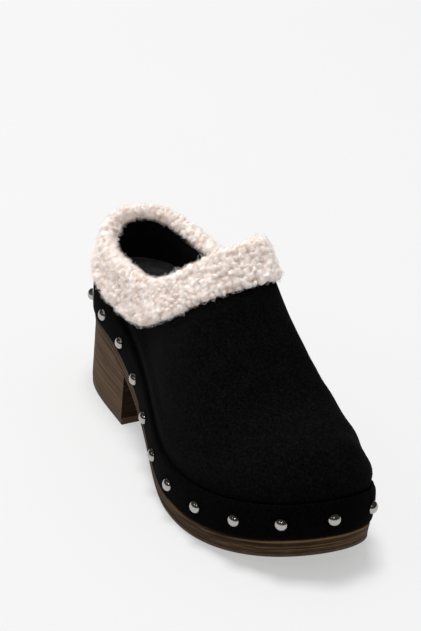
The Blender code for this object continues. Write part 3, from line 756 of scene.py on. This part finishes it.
def suede_finish(name, share):
    """Black suede: a short nap that is brushed in soft patches, and catches light at its edges."""
    made, tree, shader = new_finish(
        name,
        {
            "Roughness": 0.95,
            "Specular IOR Level": 0.01,
            "Sheen Weight": 0.010,
            "Sheen Roughness": 0.5,
            "Sheen Tint": (0.75, 0.75, 0.78, 1.0),
        },
    )
    nap = mixed(tree, noise(tree, SUEDE_NAP), noise(tree, SUEDE_BRUSHED), BRUSHED_SHARE)
    painted(tree, shader, nap, tinted(colours().suede, share), SUEDE_TONES)
    emboss(tree, shader, (noise(tree, SUEDE_FUZZ), FUZZ_RELIEF), (noise(tree, SUEDE_LUMPS), LUMPS_RELIEF))
    return made


def lining_finish(name, share):
    """A soft dark textile lining."""
    cloth = {"Roughness": 0.95, "Specular IOR Level": 0.03, "Sheen Weight": 0.02}
    made, tree, shader = new_finish(name, cloth)
    painted(tree, shader, noise(tree, LINING_PATCHES), tinted(colours().lining, share), LINING_TONES)
    emboss(tree, shader, (noise(tree, LINING_WEAVE), LINING_RELIEF))
    return made


def fleece_finish(name, base):
    """Cream fleece that lets a little light through."""
    made, tree, shader = new_finish(
        name,
        {
            "Roughness": 0.95,
            "Specular IOR Level": 0.04,
            "Subsurface Weight": 0.2,
            "Subsurface Radius": (1.0, 0.62, 0.50),
            "Subsurface Scale": 0.0005,
            "Sheen Weight": 0.12,
            "Sheen Roughness": 0.5,
        },
    )
    painted(tree, shader, noise(tree, FLEECE_PATCHES), base, FLEECE_TONES)
    emboss(tree, shader, (noise(tree, FLEECE_FUZZ), FLEECE_RELIEF))
    return made


def wood_finish(name, stain_and_shade, along=None, contrast=1.0):
    """Wood-effect sole unit: long fine grain along the shoe, a few darker streaks, a satin film."""
    film = {"Specular IOR Level": 0.05, "Coat Weight": 0.012, "Coat Roughness": 0.4}
    made, tree, shader = new_finish(name, film)
    streaks = noise(tree, WOOD_STREAKS, along)
    blend = mixed(tree, streaks, noise(tree, WOOD_PORES, along), PORES_SHARE)
    tones = [(0.5 + off / contrast, share) for off, share in WOOD_TONES]
    painted(tree, shader, blend, tinted(colours().wood, stain_and_shade), tones)
    tree.links.new(spread(tree, streaks, *WOOD_ROUGHNESS), shader.inputs["Roughness"])
    emboss(tree, shader, (blend, WOOD_RELIEF))
    return made


def tread_finish(name):
    """The thin dark wearing layers."""
    made, tree, shader = new_finish(name, {"Roughness": 0.62, "Specular IOR Level": 0.15})
    painted(tree, shader, noise(tree, TREAD_PATCHES), colours().tread, TREAD_TONES)
    emboss(tree, shader, (noise(tree, TREAD_PITS), TREAD_RELIEF))
    return made


def steel_finish(name):
    """Polished studs with faint handling marks."""
    made, tree, shader = new_finish(name, {"Base Color": (*colours().steel, 1.0), "Metallic": 1.0})
    tree.links.new(spread(tree, noise(tree, STEEL_MARKS), *STEEL_ROUGHNESS), shader.inputs["Roughness"])
    emboss(tree, shader, (noise(tree, STEEL_DINTS), STEEL_RELIEF))
    return made


def finish(name, maker, *values):
    """A material by name, made the first time that it is asked for."""
    return bpy.data.materials.get(name) or maker(name, *values)


class CLOG_OT_upper(bpy.types.Operator):
    """Make the hollow suede upper with its lining"""

    bl_idname = "clog.upper"
    bl_label = "Suede upper"

    def execute(self, context):
        grid = upper_grid()
        normals = grid_normals(grid)
        outside = creased(grid, normals)
        normals[0] *= (1, 1, 0)
        normals[0] /= np.linalg.norm(normals[0], axis=1)[:, None]
        inside = grid - normals * sizes().wall
        points = np.concatenate([outside, inside[::-1]])
        faces = lattice(points, looped_rows=True)
        rows, columns = grid.shape[:2]
        lined = np.zeros(len(faces), int)
        lined[rows * columns :] = 1
        suede = finish("black_suede", suede_finish, UPPER_SUEDE)
        lining = finish("black_lining", lining_finish, UPPER_LINING)
        made = make_mesh("suede_upper", points, faces, (suede, lining), "suede", lined)
        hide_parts("upper")
        return {"FINISHED"}


def apart_on(way, total, spot):
    """Distance round a closed line from each of its points to a spot on it."""
    straight = np.abs(way - spot)
    return np.minimum(straight, total - straight)


def rand_rings(base, places, studs):
    """Sections of the rand: rounded, dented under each stud and gathered along the rolled top."""
    s = sizes()
    corners_of = [(p.inset * s.rand_thickness, p.height * s.rand_height) for p in RAND_SECTION]
    section, _ = closed_spline(corners_of, SECTION_POINTS)
    section[:, 0] = np.minimum(section[:, 0], s.rand_thickness)
    way = walked_along(places)
    total = way[-1] + np.linalg.norm(places[0] - places[-1])
    front = section[:, 0] < 0.5 * s.rand_thickness
    rings = []
    for (inset, height), outer in zip(section, front):
        share = height / s.rand_height
        dent = np.zeros(len(base))
        if outer:
            for stud in studs:
                away = np.hypot(apart_on(way, total, stud), height - STUD_LINE * s.rand_height)
                dent += DENT_DEPTH * np.exp(-((away / (DENT_SPREAD * s.stud_diameter)) ** 2))
        rolled = smooth_step((share - ROLL_START) / (1 - ROLL_START))
        for gather in GATHERS:
            away = apart_on(way, total, gather.place * total)
            dent += gather.depth * rolled * np.exp(-((away / gather.width) ** 2))
        here = places + (0.0, 0.0, height)
        dent += uneven(here, RAND_WAVE) + rolled * uneven(here, ROLL_WAVE)
        foot = (1 - smooth_step(share / FOOT_END)) * uneven(here, FOOT_WAVE)
        keep = 1.0 if outer or share > BACK_FROM else 0.0
        rings.append(ring_at(base, inset + keep * dent, rand_foot() + height + np.maximum(foot, FOOT_LIMIT)))
    return np.array(rings)


def stud_walk():
    """The line that the studs sit on, and each stud's distance along it."""
    s = sizes()
    curve = plan_outline()
    bulge = -min(p.inset for p in RAND_SECTION) * s.rand_thickness
    facing = outward(curve)
    middle = np.c_[curve + facing * bulge, underside(curve[:, 0]) + rand_foot() + s.rand_height * STUD_LINE]
    walked = walked_along(np.vstack([middle, middle[:1]]))
    where = (STUD_FIRST + np.arange(s.stud_count) * walked[-1] / s.stud_count) % walked[-1]
    return middle, facing, walked, where


class CLOG_OT_rand(bpy.types.Operator):
    """Make the suede rand with its dents and gathers"""

    bl_idname = "clog.rand"
    bl_label = "Suede rand"

    def execute(self, context):
        base = stations(RAND_STATIONS)
        middle, _, walked, where = stud_walk()
        places = np.c_[base, underside(base[:, 0])]
        own = walked_along(np.vstack([places, places[:1]]))
        rings = rand_rings(base, places, where / walked[-1] * own[-1])
        suede = finish("rand_suede", suede_finish, RAND_SUEDE)
        made = make_mesh("suede_rand", rings, lattice(rings, looped_rows=True), (suede,), "suede")
        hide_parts("rand")
        return {"FINISHED"}


def stud_mesh():
    """One domed stud that stands on its flat foot, shared by all of them."""
    radius, height = sizes().stud_diameter / 2, sizes().stud_height
    profile = []
    for a in np.linspace(0, np.pi / 2, STUD_RINGS)[1:]:
        rise = STUD_BRIM + (1 - STUD_BRIM) * np.cos(a) ** DOME_TOP
        profile.append((radius * np.sin(a) ** DOME_SIDE, height * rise))
    profile += [(radius * wide, height * high) for wide, high in STUD_FOOT]
    turn = np.linspace(0, 2 * np.pi, STUD_SIDES, endpoint=False)
    points = [(0.0, 0.0, height)]
    for r, z in profile:
        points += [(r * math.cos(a), r * math.sin(a), z) for a in turn]
    sides = [(i, (i + 1) % STUD_SIDES) for i in range(STUD_SIDES)]
    faces = [(0, 1 + i, 1 + j) for i, j in sides]
    for ring in range(len(profile) - 1):
        low = 1 + ring * STUD_SIDES
        high = low + STUD_SIDES
        faces += [(low + i, high + i, high + j, low + j) for i, j in sides]
    foot = 1 + (len(profile) - 1) * STUD_SIDES
    faces.append(tuple(foot + i for i in reversed(range(STUD_SIDES))))
    mesh = bpy.data.meshes.new("stud_dome")
    mesh.from_pydata(points, [], faces)
    mesh.materials.append(finish("polished_steel", steel_finish))
    mesh.shade_smooth()
    mesh.set_sharp_from_angle(angle=math.radians(STUD_SHARP))
    return mesh


class CLOG_OT_studs(bpy.types.Operator):
    """Make the domed studs round the rand"""

    bl_idname = "clog.studs"
    bl_label = "Steel studs"

    def execute(self, context):
        mesh = stud_mesh()
        middle, facing, walked, where = stud_walk()
        shift = seat_in_frame()
        for number, reached in enumerate(where):
            i = min(int(np.searchsorted(walked, reached)), len(middle) - 1)
            normal = Vector((*facing[i], 0.0))
            stud = bpy.data.objects.new(f"stud_dome_{number + 1:02d}", mesh)
            stud.rotation_mode = "QUATERNION"
            stud.rotation_quaternion = normal.to_track_quat("Z", "Y")
            stud.location = Vector(middle[i]) + normal * (GAP - STUD_SINK) + shift
            context.scene.collection.objects.link(stud)
            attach(stud, "root")
            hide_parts(f"stud_{number + 1:02d}")
        return {"FINISHED"}


def add_grain(made, base, rows):
    """Stores how far round the ring, and how high over the underside, each point of a lofted piece lies."""
    walked = walked_along(base)
    points = np.empty(len(made.data.vertices) * 3)
    made.data.vertices.foreach_get("co", points)
    points = points.reshape(-1, 3) - np.array(seat_in_frame())
    over = points[:, 2] - underside(points[:, 0])
    way = np.c_[np.tile(walked, rows), np.zeros(len(over)), over]
    made.data.attributes.new("grain_way", "FLOAT_VECTOR", "POINT").data.foreach_set("vector", way.ravel())


def capped(name, rings, pairs, finishes, slot, node_name, breast=0, top=0):
    """A lofted solid closed at both ends by strips between opposite points of its rings. The finish numbered
    breast goes on the flat side that joins each ring's two ends, and the one numbered top goes on the last
    row and the upper end."""
    rings = np.array(rings)
    count = rings.shape[1]
    faces = lattice(rings).tolist()
    chosen = np.zeros(len(faces), int)
    chosen[count - 1 :: count] = breast
    if top:
        chosen[-count:] = top
    chosen = chosen.tolist()
    for start, last in ((0, False), ((len(rings) - 1) * count, True)):
        for (a, b), (c, d) in zip(pairs, pairs[1:]):
            strip = [start + a, start + c, start + d, start + b]
            strip = [v for i, v in enumerate(strip) if v not in strip[:i]]
            faces.append(strip if last else strip[::-1])
            chosen.append(top if last else 0)
    made = make_mesh(name, rings, faces, finishes, slot, np.array(chosen), SOLE_SHARP)
    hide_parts(node_name)
    return made


def opposite(half):
    """Pairs of opposite points of a full ring, from the heel's tip to the toe's tip."""
    return [(0, 0)] + [(i, 2 * half - i) for i in range(1, half)] + [(half, half)]


def cut_ring(ring, breast, behind):
    """The part of a ring behind or before the heel's breast, closed straight across it."""
    half = len(ring) // 2
    sides = (ring[: half + 1], np.vstack([ring[half:], ring[:1]])[::-1])
    kept = []
    for side in sides:
        share = np.interp(breast, side[:, 0], np.arange(len(side)))
        i = int(share)
        end = side[i] + (side[i + 1] - side[i]) * (share - i)
        end[0] = breast
        kept.append(np.vstack([side[: i + 1], end]) if behind else np.vstack([end, side[i + 1 :]]))
    lateral, medial = kept
    if behind:
        return np.vstack([medial[:0:-1], lateral])
    return np.vstack([lateral, medial[-2::-1]])


def folded(ring):
    """Pairs of opposite points of a cut ring, from its two ends to its tip."""
    return [(i, len(ring) - 1 - i) for i in range((len(ring) + 1) // 2)]


def make_platform(base):
    """The wood-effect unit: a rounded edge that shows, and a narrower core behind the rand."""
    foot, top = sizes().outsole, rand_foot() - GAP
    core = sizes().rand_thickness + GAP
    profile = []
    for a in np.linspace(0, math.pi / 2, CORNER_POINTS):
        inset = EDGE_OVERHANG + EDGE_TAPER + EDGE_ROUNDING * (1 - math.sin(a))
        profile.append((inset, foot + EDGE_ROUNDING * (1 - math.cos(a))))
    profile.append((EDGE_OVERHANG + EDGE_TAPER / 2, (foot + top) / 2))
    profile += [(EDGE_OVERHANG, top - EDGE_BROW), (EDGE_OVERHANG + EDGE_BROW, top)]
    profile += [(core, top), (core, feather_height() - GAP)]
    rings = [ring_at(base, inset, above) for inset, above in profile]
    wood = finish("edge_wood_grain", wood_finish, EDGE_STAIN, "grain_way", EDGE_CONTRAST)
    board = finish("black_board", lining_finish, BOARD_LINING)
    pairs = opposite(SOLE_STATIONS)
    platform = capped("wood_platform", rings, pairs, (wood, board), "wood_effect", "platform", top=1)
    add_grain(platform, base, len(rings))


def make_outsole(base, inset, tread):
    """The thin wearing layer under the forepart and the waist."""
    third = EDGE_ROUNDING / 3
    profile = [(EDGE_ROUNDING, 0.0), (third, third), (0.0, EDGE_ROUNDING), (0.0, sizes().outsole - GAP)]
    start = sizes().heel_breast + GAP
    rings = [cut_ring(ring_at(base, inset + inner, above), start, False) for inner, above in profile]
    capped("tread_outsole", rings, folded(rings[0]), (tread,), "tread", "outsole")


def make_heel(base, inset, tread):
    """The flared block heel with its breast stained darker, partly as painted shade under the arch, and the
    top lift under it.
    """
    s = sizes()

    def heel(extra, height=None):
        cut = cut_ring(ring_at(base, inset + extra, s.outsole - GAP), s.heel_breast, True)
        if height is not None:
            cut[:, 2] = height
        return cut

    low = LIFT_THICKNESS + GAP
    block = [heel(-HEEL_FLARE * (1 - share), low + (s.heel_rise - low) * share) for share in HEEL_SHARES]
    block.append(heel(0.0))
    pairs = folded(block[0])
    wood = finish("brown_wood_grain", wood_finish, HEEL_STAIN, None, HEEL_CONTRAST)
    # The breast is darker than its stain alone: painted shade under the arch
    stain_and_shade = finish("dark_breast_stain", wood_finish, BREAST_STAIN_AND_SHADE)
    capped("wood_heel", block, pairs, (wood, stain_and_shade), "wood_effect", "heel_block", breast=1)
    flared = LIFT_INSET - HEEL_FLARE
    lift = [
        heel(flared + LIFT_ROUNDING, 0.0),
        heel(flared + LIFT_ROUNDING * LIFT_CORNER, LIFT_ROUNDING * LIFT_CORNER),
        heel(flared, LIFT_ROUNDING),
        heel(flared, LIFT_THICKNESS),
    ]
    capped("heel_top_lift", lift, pairs, (tread,), "tread", "top_lift")


class CLOG_OT_sole(bpy.types.Operator):
    """Make the wood-effect platform and heel, the outsole and the top lift"""

    bl_idname = "clog.sole"
    bl_label = "Sole"

    def execute(self, context):
        base = stations(SOLE_STATIONS)
        inset = EDGE_OVERHANG + EDGE_TAPER
        tread = finish("dark_tread", tread_finish)
        make_platform(base)
        make_outsole(base, inset, tread)
        make_heel(base, inset, tread)
        return {"FINISHED"}


class CLOG_OT_footbed(bpy.types.Operator):
    """Make the footbed inside the upper"""

    bl_idname = "clog.footbed"
    bl_label = "Footbed"

    def execute(self, context):
        s = sizes()
        base = stations(FOOTBED_STATIONS)
        inset = s.rand_thickness + UPPER_CLEARANCE + s.wall + FOOTBED_CLEARANCE
        foot = feather_height()
        top = foot + FOOTBED_THICKNESS
        rings = [
            ring_at(base, inset, foot),
            ring_at(base, inset + FOOTBED_SKIVE * FOOTBED_CORNER, top - FOOTBED_SHOULDER),
            ring_at(base, inset + FOOTBED_SKIVE, top - FOOTBED_BROW),
        ]
        for share in DISH_SHARES:
            reach = FOOTBED_SKIVE + DISH_REACH * FOOTBED_THICKNESS * share
            rings.append(ring_at(base, inset + reach, top - FOOTBED_DISH * smooth_step(share)))
        lining = finish("grey_footbed", lining_finish, FOOTBED_LINING)
        capped("soft_footbed", rings, opposite(FOOTBED_STATIONS), (lining,), "footbed", "insole")
        return {"FINISHED"}


def cuff_loop(column, normals, reach, pile):
    """The cuff's backing over one line of the upper, and how long its pile is at each point."""
    s = sizes()
    line, facing = column[::-1], normals[::-1]
    walked = walked_along(line)
    rising = line[0] - line[1]
    rising = rising / np.linalg.norm(rising)
    along = [row.reach for row in CUFF]
    drop = smooth_table(reach, along, [row.drop for row in CUFF]) - pile * PILE_BELOW
    thickness = smooth_table(reach, along, [row.thickness for row in CUFF]) - pile
    crown = smooth_table(reach, along, [row.crown for row in CUFF]) - pile * PILE_ABOVE

    def put(down, out):
        if down < 0:
            return line[0] - rising * down + facing[0] * out
        at = np.array([np.interp(down, walked, axis) for axis in line.T])
        turn = np.array([np.interp(down, walked, axis) for axis in facing.T])
        return at + turn / np.linalg.norm(turn) * out

    inner = s.wall + FLEECE_GAP
    inside = CUFF_INNER_THICKNESS - pile * PILE_INSIDE
    behind = inner + inside
    section = [put(-FLEECE_GAP, FLEECE_GAP)]
    section += [put(p.along * drop, FLEECE_GAP + p.across * (thickness - FLEECE_GAP)) for p in CUFF_OUTSIDE]
    section += [put(-p.along * crown, p.across * (thickness if p.across > 0 else behind)) for p in CUFF_TOP]
    section += [put(p.along * CUFF_INNER_DROP, -inner - p.across * inside) for p in CUFF_INSIDE]
    section.append(put(-FLEECE_GAP, -inner))
    dense, span = closed_spline(section, CUFF_POINTS)
    loop = np.vstack([dense, dense[:1]])
    where = walked_along(loop)
    even = np.linspace(0, where[-1], CUFF_ROWS, endpoint=False)
    index = np.clip(np.searchsorted(where, even, side="right") - 1, 0, len(dense) - 1)
    points = np.stack([np.interp(even, where, axis) for axis in loop.T], axis=1)
    piled = (span[index] >= FIRST_PILE_SPAN) & (span[index] <= LAST_PILE_SPAN)
    return points, piled * np.interp(span[index], [row.span for row in PILE], [row.share for row in PILE])


def cuff_backing():
    """The backing's grid of points, its outward normals and how long its pile is at each point."""
    coarse = upper_grid(CUFF_STATIONS, COLLAR_ROWS)
    ring = coarse.shape[1]
    closed = np.concatenate([coarse, coarse[:, :1]], axis=1)
    collar = walked_along(closed[-1])
    where = np.linspace(0, collar[-1], CUFF_COLUMNS, endpoint=False)
    at = np.interp(where, collar, np.arange(ring + 1))
    low = at.astype(int)
    mix = (at - low)[None, :, None]
    grid = closed[:, low] * (1 - mix) + closed[:, low + 1] * mix
    normals = grid_normals(grid)
    reach = grid[-1, :, 0]
    reach = (reach - reach.min()) / (reach.max() - reach.min())
    loops = [cuff_loop(grid[:, i], normals[:, i], reach[i], sizes().pile) for i in range(CUFF_COLUMNS)]
    points = np.array([loop for loop, _ in loops]).transpose(1, 0, 2)
    length = np.array([share for _, share in loops]).T
    for _ in range(PILE_BLUR):
        length = (np.roll(length, 1, 0) + length + np.roll(length, -1, 0)) / 3
    return points, grid_facing(points), length


def grid_facing(points):
    """Unit normals out of a closed tube of points."""
    across = np.roll(points, -1, 1) - np.roll(points, 1, 1)
    down = np.roll(points, -1, 0) - np.roll(points, 1, 0)
    facing = np.cross(down, across)
    facing /= np.linalg.norm(facing, axis=2)[..., None]
    centre = points.mean(axis=0)
    return facing if np.mean(np.sum(facing * (points - centre), axis=2)) > 0 else -facing


def tree_of(spots):
    tree = kdtree.KDTree(len(spots))
    for i, spot in enumerate(spots):
        tree.insert(spot, i)
    tree.balance()
    return tree


def scattered(spots, spacing, rng):
    """Seeded choice of spots, no two closer than the spacing."""
    order = rng.permutation(len(spots))
    tree = tree_of(spots)
    taken = np.zeros(len(spots), bool)
    kept = []
    for i in order:
        if taken[i]:
            continue
        kept.append(i)
        for _, j, _ in tree.find_range(spots[i], spacing):
            taken[j] = True
    return np.array(kept)


def clumps_over(flat, centres, sizes_of, heights):
    """How high round clumps stand over each point, and which clump is the highest there."""
    tree = tree_of(centres)
    lift, owner = np.zeros(len(flat)), np.zeros(len(flat), int)
    for n, spot in enumerate(flat):
        for _, i, distance in tree.find_n(spot, NEAREST_CLUMPS):
            off = distance / sizes_of[i]
            if off < 1:
                high = heights[i] * math.sqrt(1 - off * off)
                if high > lift[n]:
                    lift[n], owner[n] = high, i
    return lift, owner


def ribbons(paths, facing, width):
    """Flat fibres along many paths at once, each lying flat to its own facing: points and faces."""
    count, steps = paths.shape[:2]
    along = np.gradient(paths, axis=1)
    side = np.cross(along, facing[:, None])
    side /= np.linalg.norm(side, axis=2)[..., None]
    taper = np.sin(np.linspace(*FIBRE_TAPER, steps)) ** TAPER_POWER
    half = side * (width[:, None] * taper[None])[..., None] / 2
    points = np.stack([paths - half, paths + half], axis=2)
    index = np.arange(count * steps * 2).reshape(count, steps, 2)
    low, high = index[:, :-1], index[:, 1:]
    quads = np.stack([low[..., 0], low[..., 1], high[..., 1], high[..., 0]], -1).reshape(-1, 4)
    return points.reshape(-1, 3), quads.tolist()


def curled_fibres(roots, facing, centres, rng):
    """Paths of fibres that curl round the clump they grow from."""
    count = len(roots)
    loose = rng.normal(size=roots.shape)
    around = np.cross(facing, roots - centres)
    around /= np.linalg.norm(around, axis=1)[:, None] + TINY
    first = around * rng.choice((-1.0, 1.0), count)[:, None] + loose * CURL_STRAY
    first -= facing * np.sum(first * facing, axis=1)[:, None]
    first /= np.linalg.norm(first, axis=1)[:, None]
    second = np.cross(facing, first)
    radius = rng.uniform(*CURL_RADIUS, count)
    swing = rng.uniform(*CURL_SWING, count)
    wild = np.where(rng.uniform(size=count) < FREE_FIBRES, rng.uniform(*FREE_LIFT, count), 1.0)
    lift = rng.uniform(*CURL_LIFT, count) * wild
    t = np.linspace(0, 1, FIBRE_STEPS)
    angle = swing[:, None] * t[None]
    turn = rng.choice((-1.0, 1.0), count)[:, None]
    forward = (radius * wild**0.5)[:, None] * np.sin(angle)
    sideways = radius[:, None] * (1 - np.cos(angle)) * turn
    rise = lift[:, None] * np.sin(np.pi * (CURL_START + CURL_SPAN * t[None]))
    return (
        roots[:, None]
        + first[:, None] * forward[..., None]
        + second[:, None] * sideways[..., None]
        + facing[:, None] * rise[..., None]
    )


def clumped(flat, length, rng):
    """The pile: where it grows, how high it stands, and the middle of the clump that each point is in."""
    s = sizes()
    grown = np.flatnonzero(length > PILED_ENOUGH)
    centres = flat[grown[scattered(flat[grown], s.clump * CLUMP_SPACING, rng)]]
    big = rng.uniform(*CLUMP_WIDTH, len(centres)) * s.clump
    tall = rng.uniform(*CLUMP_HEIGHT, len(centres)) * s.pile
    sway = np.stack([ripple(flat, s.clump * SWAY_CELL, SWAY_SEED + axis) for axis in range(3)], axis=1)
    lift, owner = clumps_over(flat + sway * s.clump * SWAY, centres, big, tall)
    knots = flat[grown[scattered(flat[grown], s.clump * KNOT_SPACING, rng)]]
    small = rng.uniform(*KNOT_WIDTH, len(knots)) * s.clump
    fine, _ = clumps_over(flat, knots, small, rng.uniform(*KNOT_HEIGHT, len(knots)) * s.pile)
    fuzz = FUZZ * s.pile * ripple(flat, s.clump * FUZZ_CELL, FUZZ_SEED)
    return grown, (lift + fine + fuzz) * length, centres[owner]


class CLOG_OT_cuff(bpy.types.Operator):
    """Make the fleece cuff: its clumped pile and the curled fibres over it"""

    bl_idname = "clog.cuff"
    bl_label = "Fleece cuff"

    def execute(self, context):
        s = sizes()
        rng = np.random.default_rng(SEED)
        points, facing, length = cuff_backing()
        length = length.reshape(-1)
        grown, lift, centres = clumped(points.reshape(-1, 3), length, rng)
        raised = points + facing * lift.reshape(points.shape[:2])[..., None]
        faces = lattice(raised, looped_rows=True)
        depth = (lift / (s.pile * np.maximum(length, PILED_ENOUGH)))[faces].mean(axis=1)
        fleece = (
            finish("fleece_roots", fleece_finish, FLEECE_ROOT_SHADE),
            finish("fleece_mid_pile", fleece_finish, FLEECE_MID_SHADE),
            finish("fleece_tips", fleece_finish, tuple(colours().fleece)),
        )
        # Faces low in the pile take the darker tones: painted shade in the hollows between clumps
        level = np.digitize(depth, FLEECE_LEVELS)
        backing = make_mesh("fleece_backing", raised, faces, fleece, "fleece", level)
        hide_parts("fleece_cuff")

        cream = finish("cream_curls", fleece_finish, tinted(colours().fleece, CREAM_CURLS))
        # Warm, darker curls for painted shade in the hollows between the clumps
        warm_shade = finish("warm_curls", fleece_finish, WARM_SHADE_CURLS)
        seen = grown[facing.reshape(-1, 3)[grown, 2] > UNDERSIDE]
        share = lift[seen] / (s.pile * length[seen])
        high = seen[share > CREAM_ABOVE]
        # Roots low between the clumps, where the warm curls paint shade
        low = seen[(share > WARM_SHADE_BETWEEN[0]) & (share < WARM_SHADE_BETWEEN[1])]
        blended = (grid_facing(raised).reshape(-1, 3) + facing.reshape(-1, 3)) / 2
        blended /= np.linalg.norm(blended, axis=1)[:, None]
        surface = raised.reshape(-1, 3)
        for name, curl, rooted in (
            ("fleece_curls_one", cream, high),
            ("fleece_curls_two", cream, high),
            ("fleece_curls_three", warm_shade, low),
        ):
            roots = rng.choice(rooted, FIBRES, replace=True)
            jitter = rng.normal(scale=FIBRE_JITTER, size=(FIBRES, 3))
            paths = curled_fibres(surface[roots] + jitter, blended[roots], centres[roots], rng)
            width = rng.uniform(*FIBRE_WIDTH, FIBRES)
            make_mesh(name, *ribbons(paths, blended[roots], width), (curl,), "fleece")
        return {"FINISHED"}


def add_camera(scene):
    """The camera at the photo's place, leaning by its roll."""
    view = scene.clog_view
    level, high = math.cos(view.elevation), math.sin(view.elevation)
    away = Vector((math.sin(view.azimuth) * level, -math.cos(view.azimuth) * level, high))
    side = (-away).cross(Vector((0, 0, 1))).normalized()
    up = side.cross(-away)
    right = side * math.cos(view.roll) + up * math.sin(view.roll)
    over = up * math.cos(view.roll) - side * math.sin(view.roll)
    camera = bpy.data.objects.new("camera", bpy.data.cameras.new("camera"))
    camera.data.lens = view.lens
    camera.data.clip_start = NEAREST_SEEN
    turned = Matrix((right, over, away)).transposed().to_4x4()
    camera.matrix_world = Matrix.Translation(Vector(view.aim) + away * view.distance) @ turned
    scene.collection.objects.link(camera)
    scene.camera = camera


def add_floor(glow):
    """The pale floor that the shoe stands on."""
    made, tree, shader = new_finish(
        "studio_floor",
        {
            "Roughness": 0.9,
            "Specular IOR Level": 0.0,
            "Emission Color": WHITE,
            "Emission Strength": glow,
        },
    )
    painted(tree, shader, noise(tree, FLOOR_PATCHES), colours().floor, FLOOR_TONES)
    bpy.ops.mesh.primitive_plane_add(size=FLOOR_SIZE, location=(0.0, 0.0, 0.0))
    floor = bpy.context.object
    floor.name = "studio_floor"
    floor.data.materials.append(made)


def add_air(scene, strength):
    """The even light of the room, which polished steel doesn't mirror."""
    world = bpy.data.worlds.new("studio_air")
    scene.world = world
    world.use_nodes = True
    background = world.node_tree.nodes["Background"]
    background.inputs["Color"].default_value = WHITE
    background.inputs["Strength"].default_value = strength
    world.cycles_visibility.glossy = False


def add_lamps(scene):
    """The studio's square lights, aimed at the shoe."""
    for row in LAMPS:
        light = bpy.data.lights.new(row.name, "AREA")
        light.shape = "SQUARE"
        light.size = row.size
        light.energy = row.power
        light.use_shadow = row.shades
        lamp = bpy.data.objects.new(row.name, light)
        lamp.location = row.stands
        aim = Vector(LAMPS_AIM) - Vector(row.stands)
        lamp.rotation_euler = aim.to_track_quat("-Z", "Y").to_euler()
        lamp.visible_glossy = row.mirrored
        scene.collection.objects.link(lamp)


def add_walls(glow):
    """Dim walls that only polished steel mirrors."""
    walls, _, _ = new_finish(
        "studio_walls",
        {
            "Base Color": BLACK,
            "Specular IOR Level": 0.0,
            "Emission Color": WARM_WHITE,
            "Emission Strength": glow,
        },
    )
    bpy.ops.mesh.primitive_uv_sphere_add(segments=48, ring_count=24, radius=ROOM_RADIUS)
    room = bpy.context.object
    room.name = "studio_walls"
    room.data.materials.append(walls)
    room.visible_camera = False
    room.visible_diffuse = False
    room.visible_shadow = False
    room.visible_transmission = False
    room.visible_volume_scatter = False


class CLOG_OT_stage(bpy.types.Operator):
    """Make the floor, the lights and the camera"""

    bl_idname = "clog.stage"
    bl_label = "Stage"

    def execute(self, context):
        view = context.scene.clog_view
        add_camera(context.scene)
        add_floor(view.floor_glow)
        add_air(context.scene, view.room)
        add_lamps(context.scene)
        add_walls(view.mirrored_room)
        context.scene.view_settings.view_transform = "Standard"
        context.scene.view_settings.look = "None"
        return {"FINISHED"}


class CLOG_PT_panel(bpy.types.Panel):
    """The clog's operators and sizes in the sidebar"""

    bl_label = "Clog"
    bl_idname = "CLOG_PT_panel"
    bl_space_type = "VIEW_3D"
    bl_region_type = "UI"
    bl_category = "Clog"

    def draw(self, context):
        for operator in OPERATORS:
            self.layout.operator(operator.bl_idname)
        for group in (context.scene.clog_sizes, context.scene.clog_colours, context.scene.clog_view):
            box = self.layout.box()
            for name in group.__annotations__:
                box.prop(group, name)


OPERATORS = (
    CLOG_OT_stage,
    CLOG_OT_sole,
    CLOG_OT_rand,
    CLOG_OT_studs,
    CLOG_OT_footbed,
    CLOG_OT_upper,
    CLOG_OT_cuff,
)
CLASSES = (ClogSizes, ClogColours, ClogView, *OPERATORS, CLOG_PT_panel)


def register():
    for cls in CLASSES:
        bpy.utils.register_class(cls)
    bpy.types.Scene.clog_sizes = PointerProperty(type=ClogSizes)
    bpy.types.Scene.clog_colours = PointerProperty(type=ClogColours)
    bpy.types.Scene.clog_view = PointerProperty(type=ClogView)


def unregister():
    del bpy.types.Scene.clog_view
    del bpy.types.Scene.clog_colours
    del bpy.types.Scene.clog_sizes
    for cls in reversed(CLASSES):
        bpy.utils.unregister_class(cls)


def main():
    register()
    for operator in OPERATORS:
        group, name = operator.bl_idname.split(".")
        getattr(getattr(bpy.ops, group), name)()


if __name__ == "__main__":
    main()
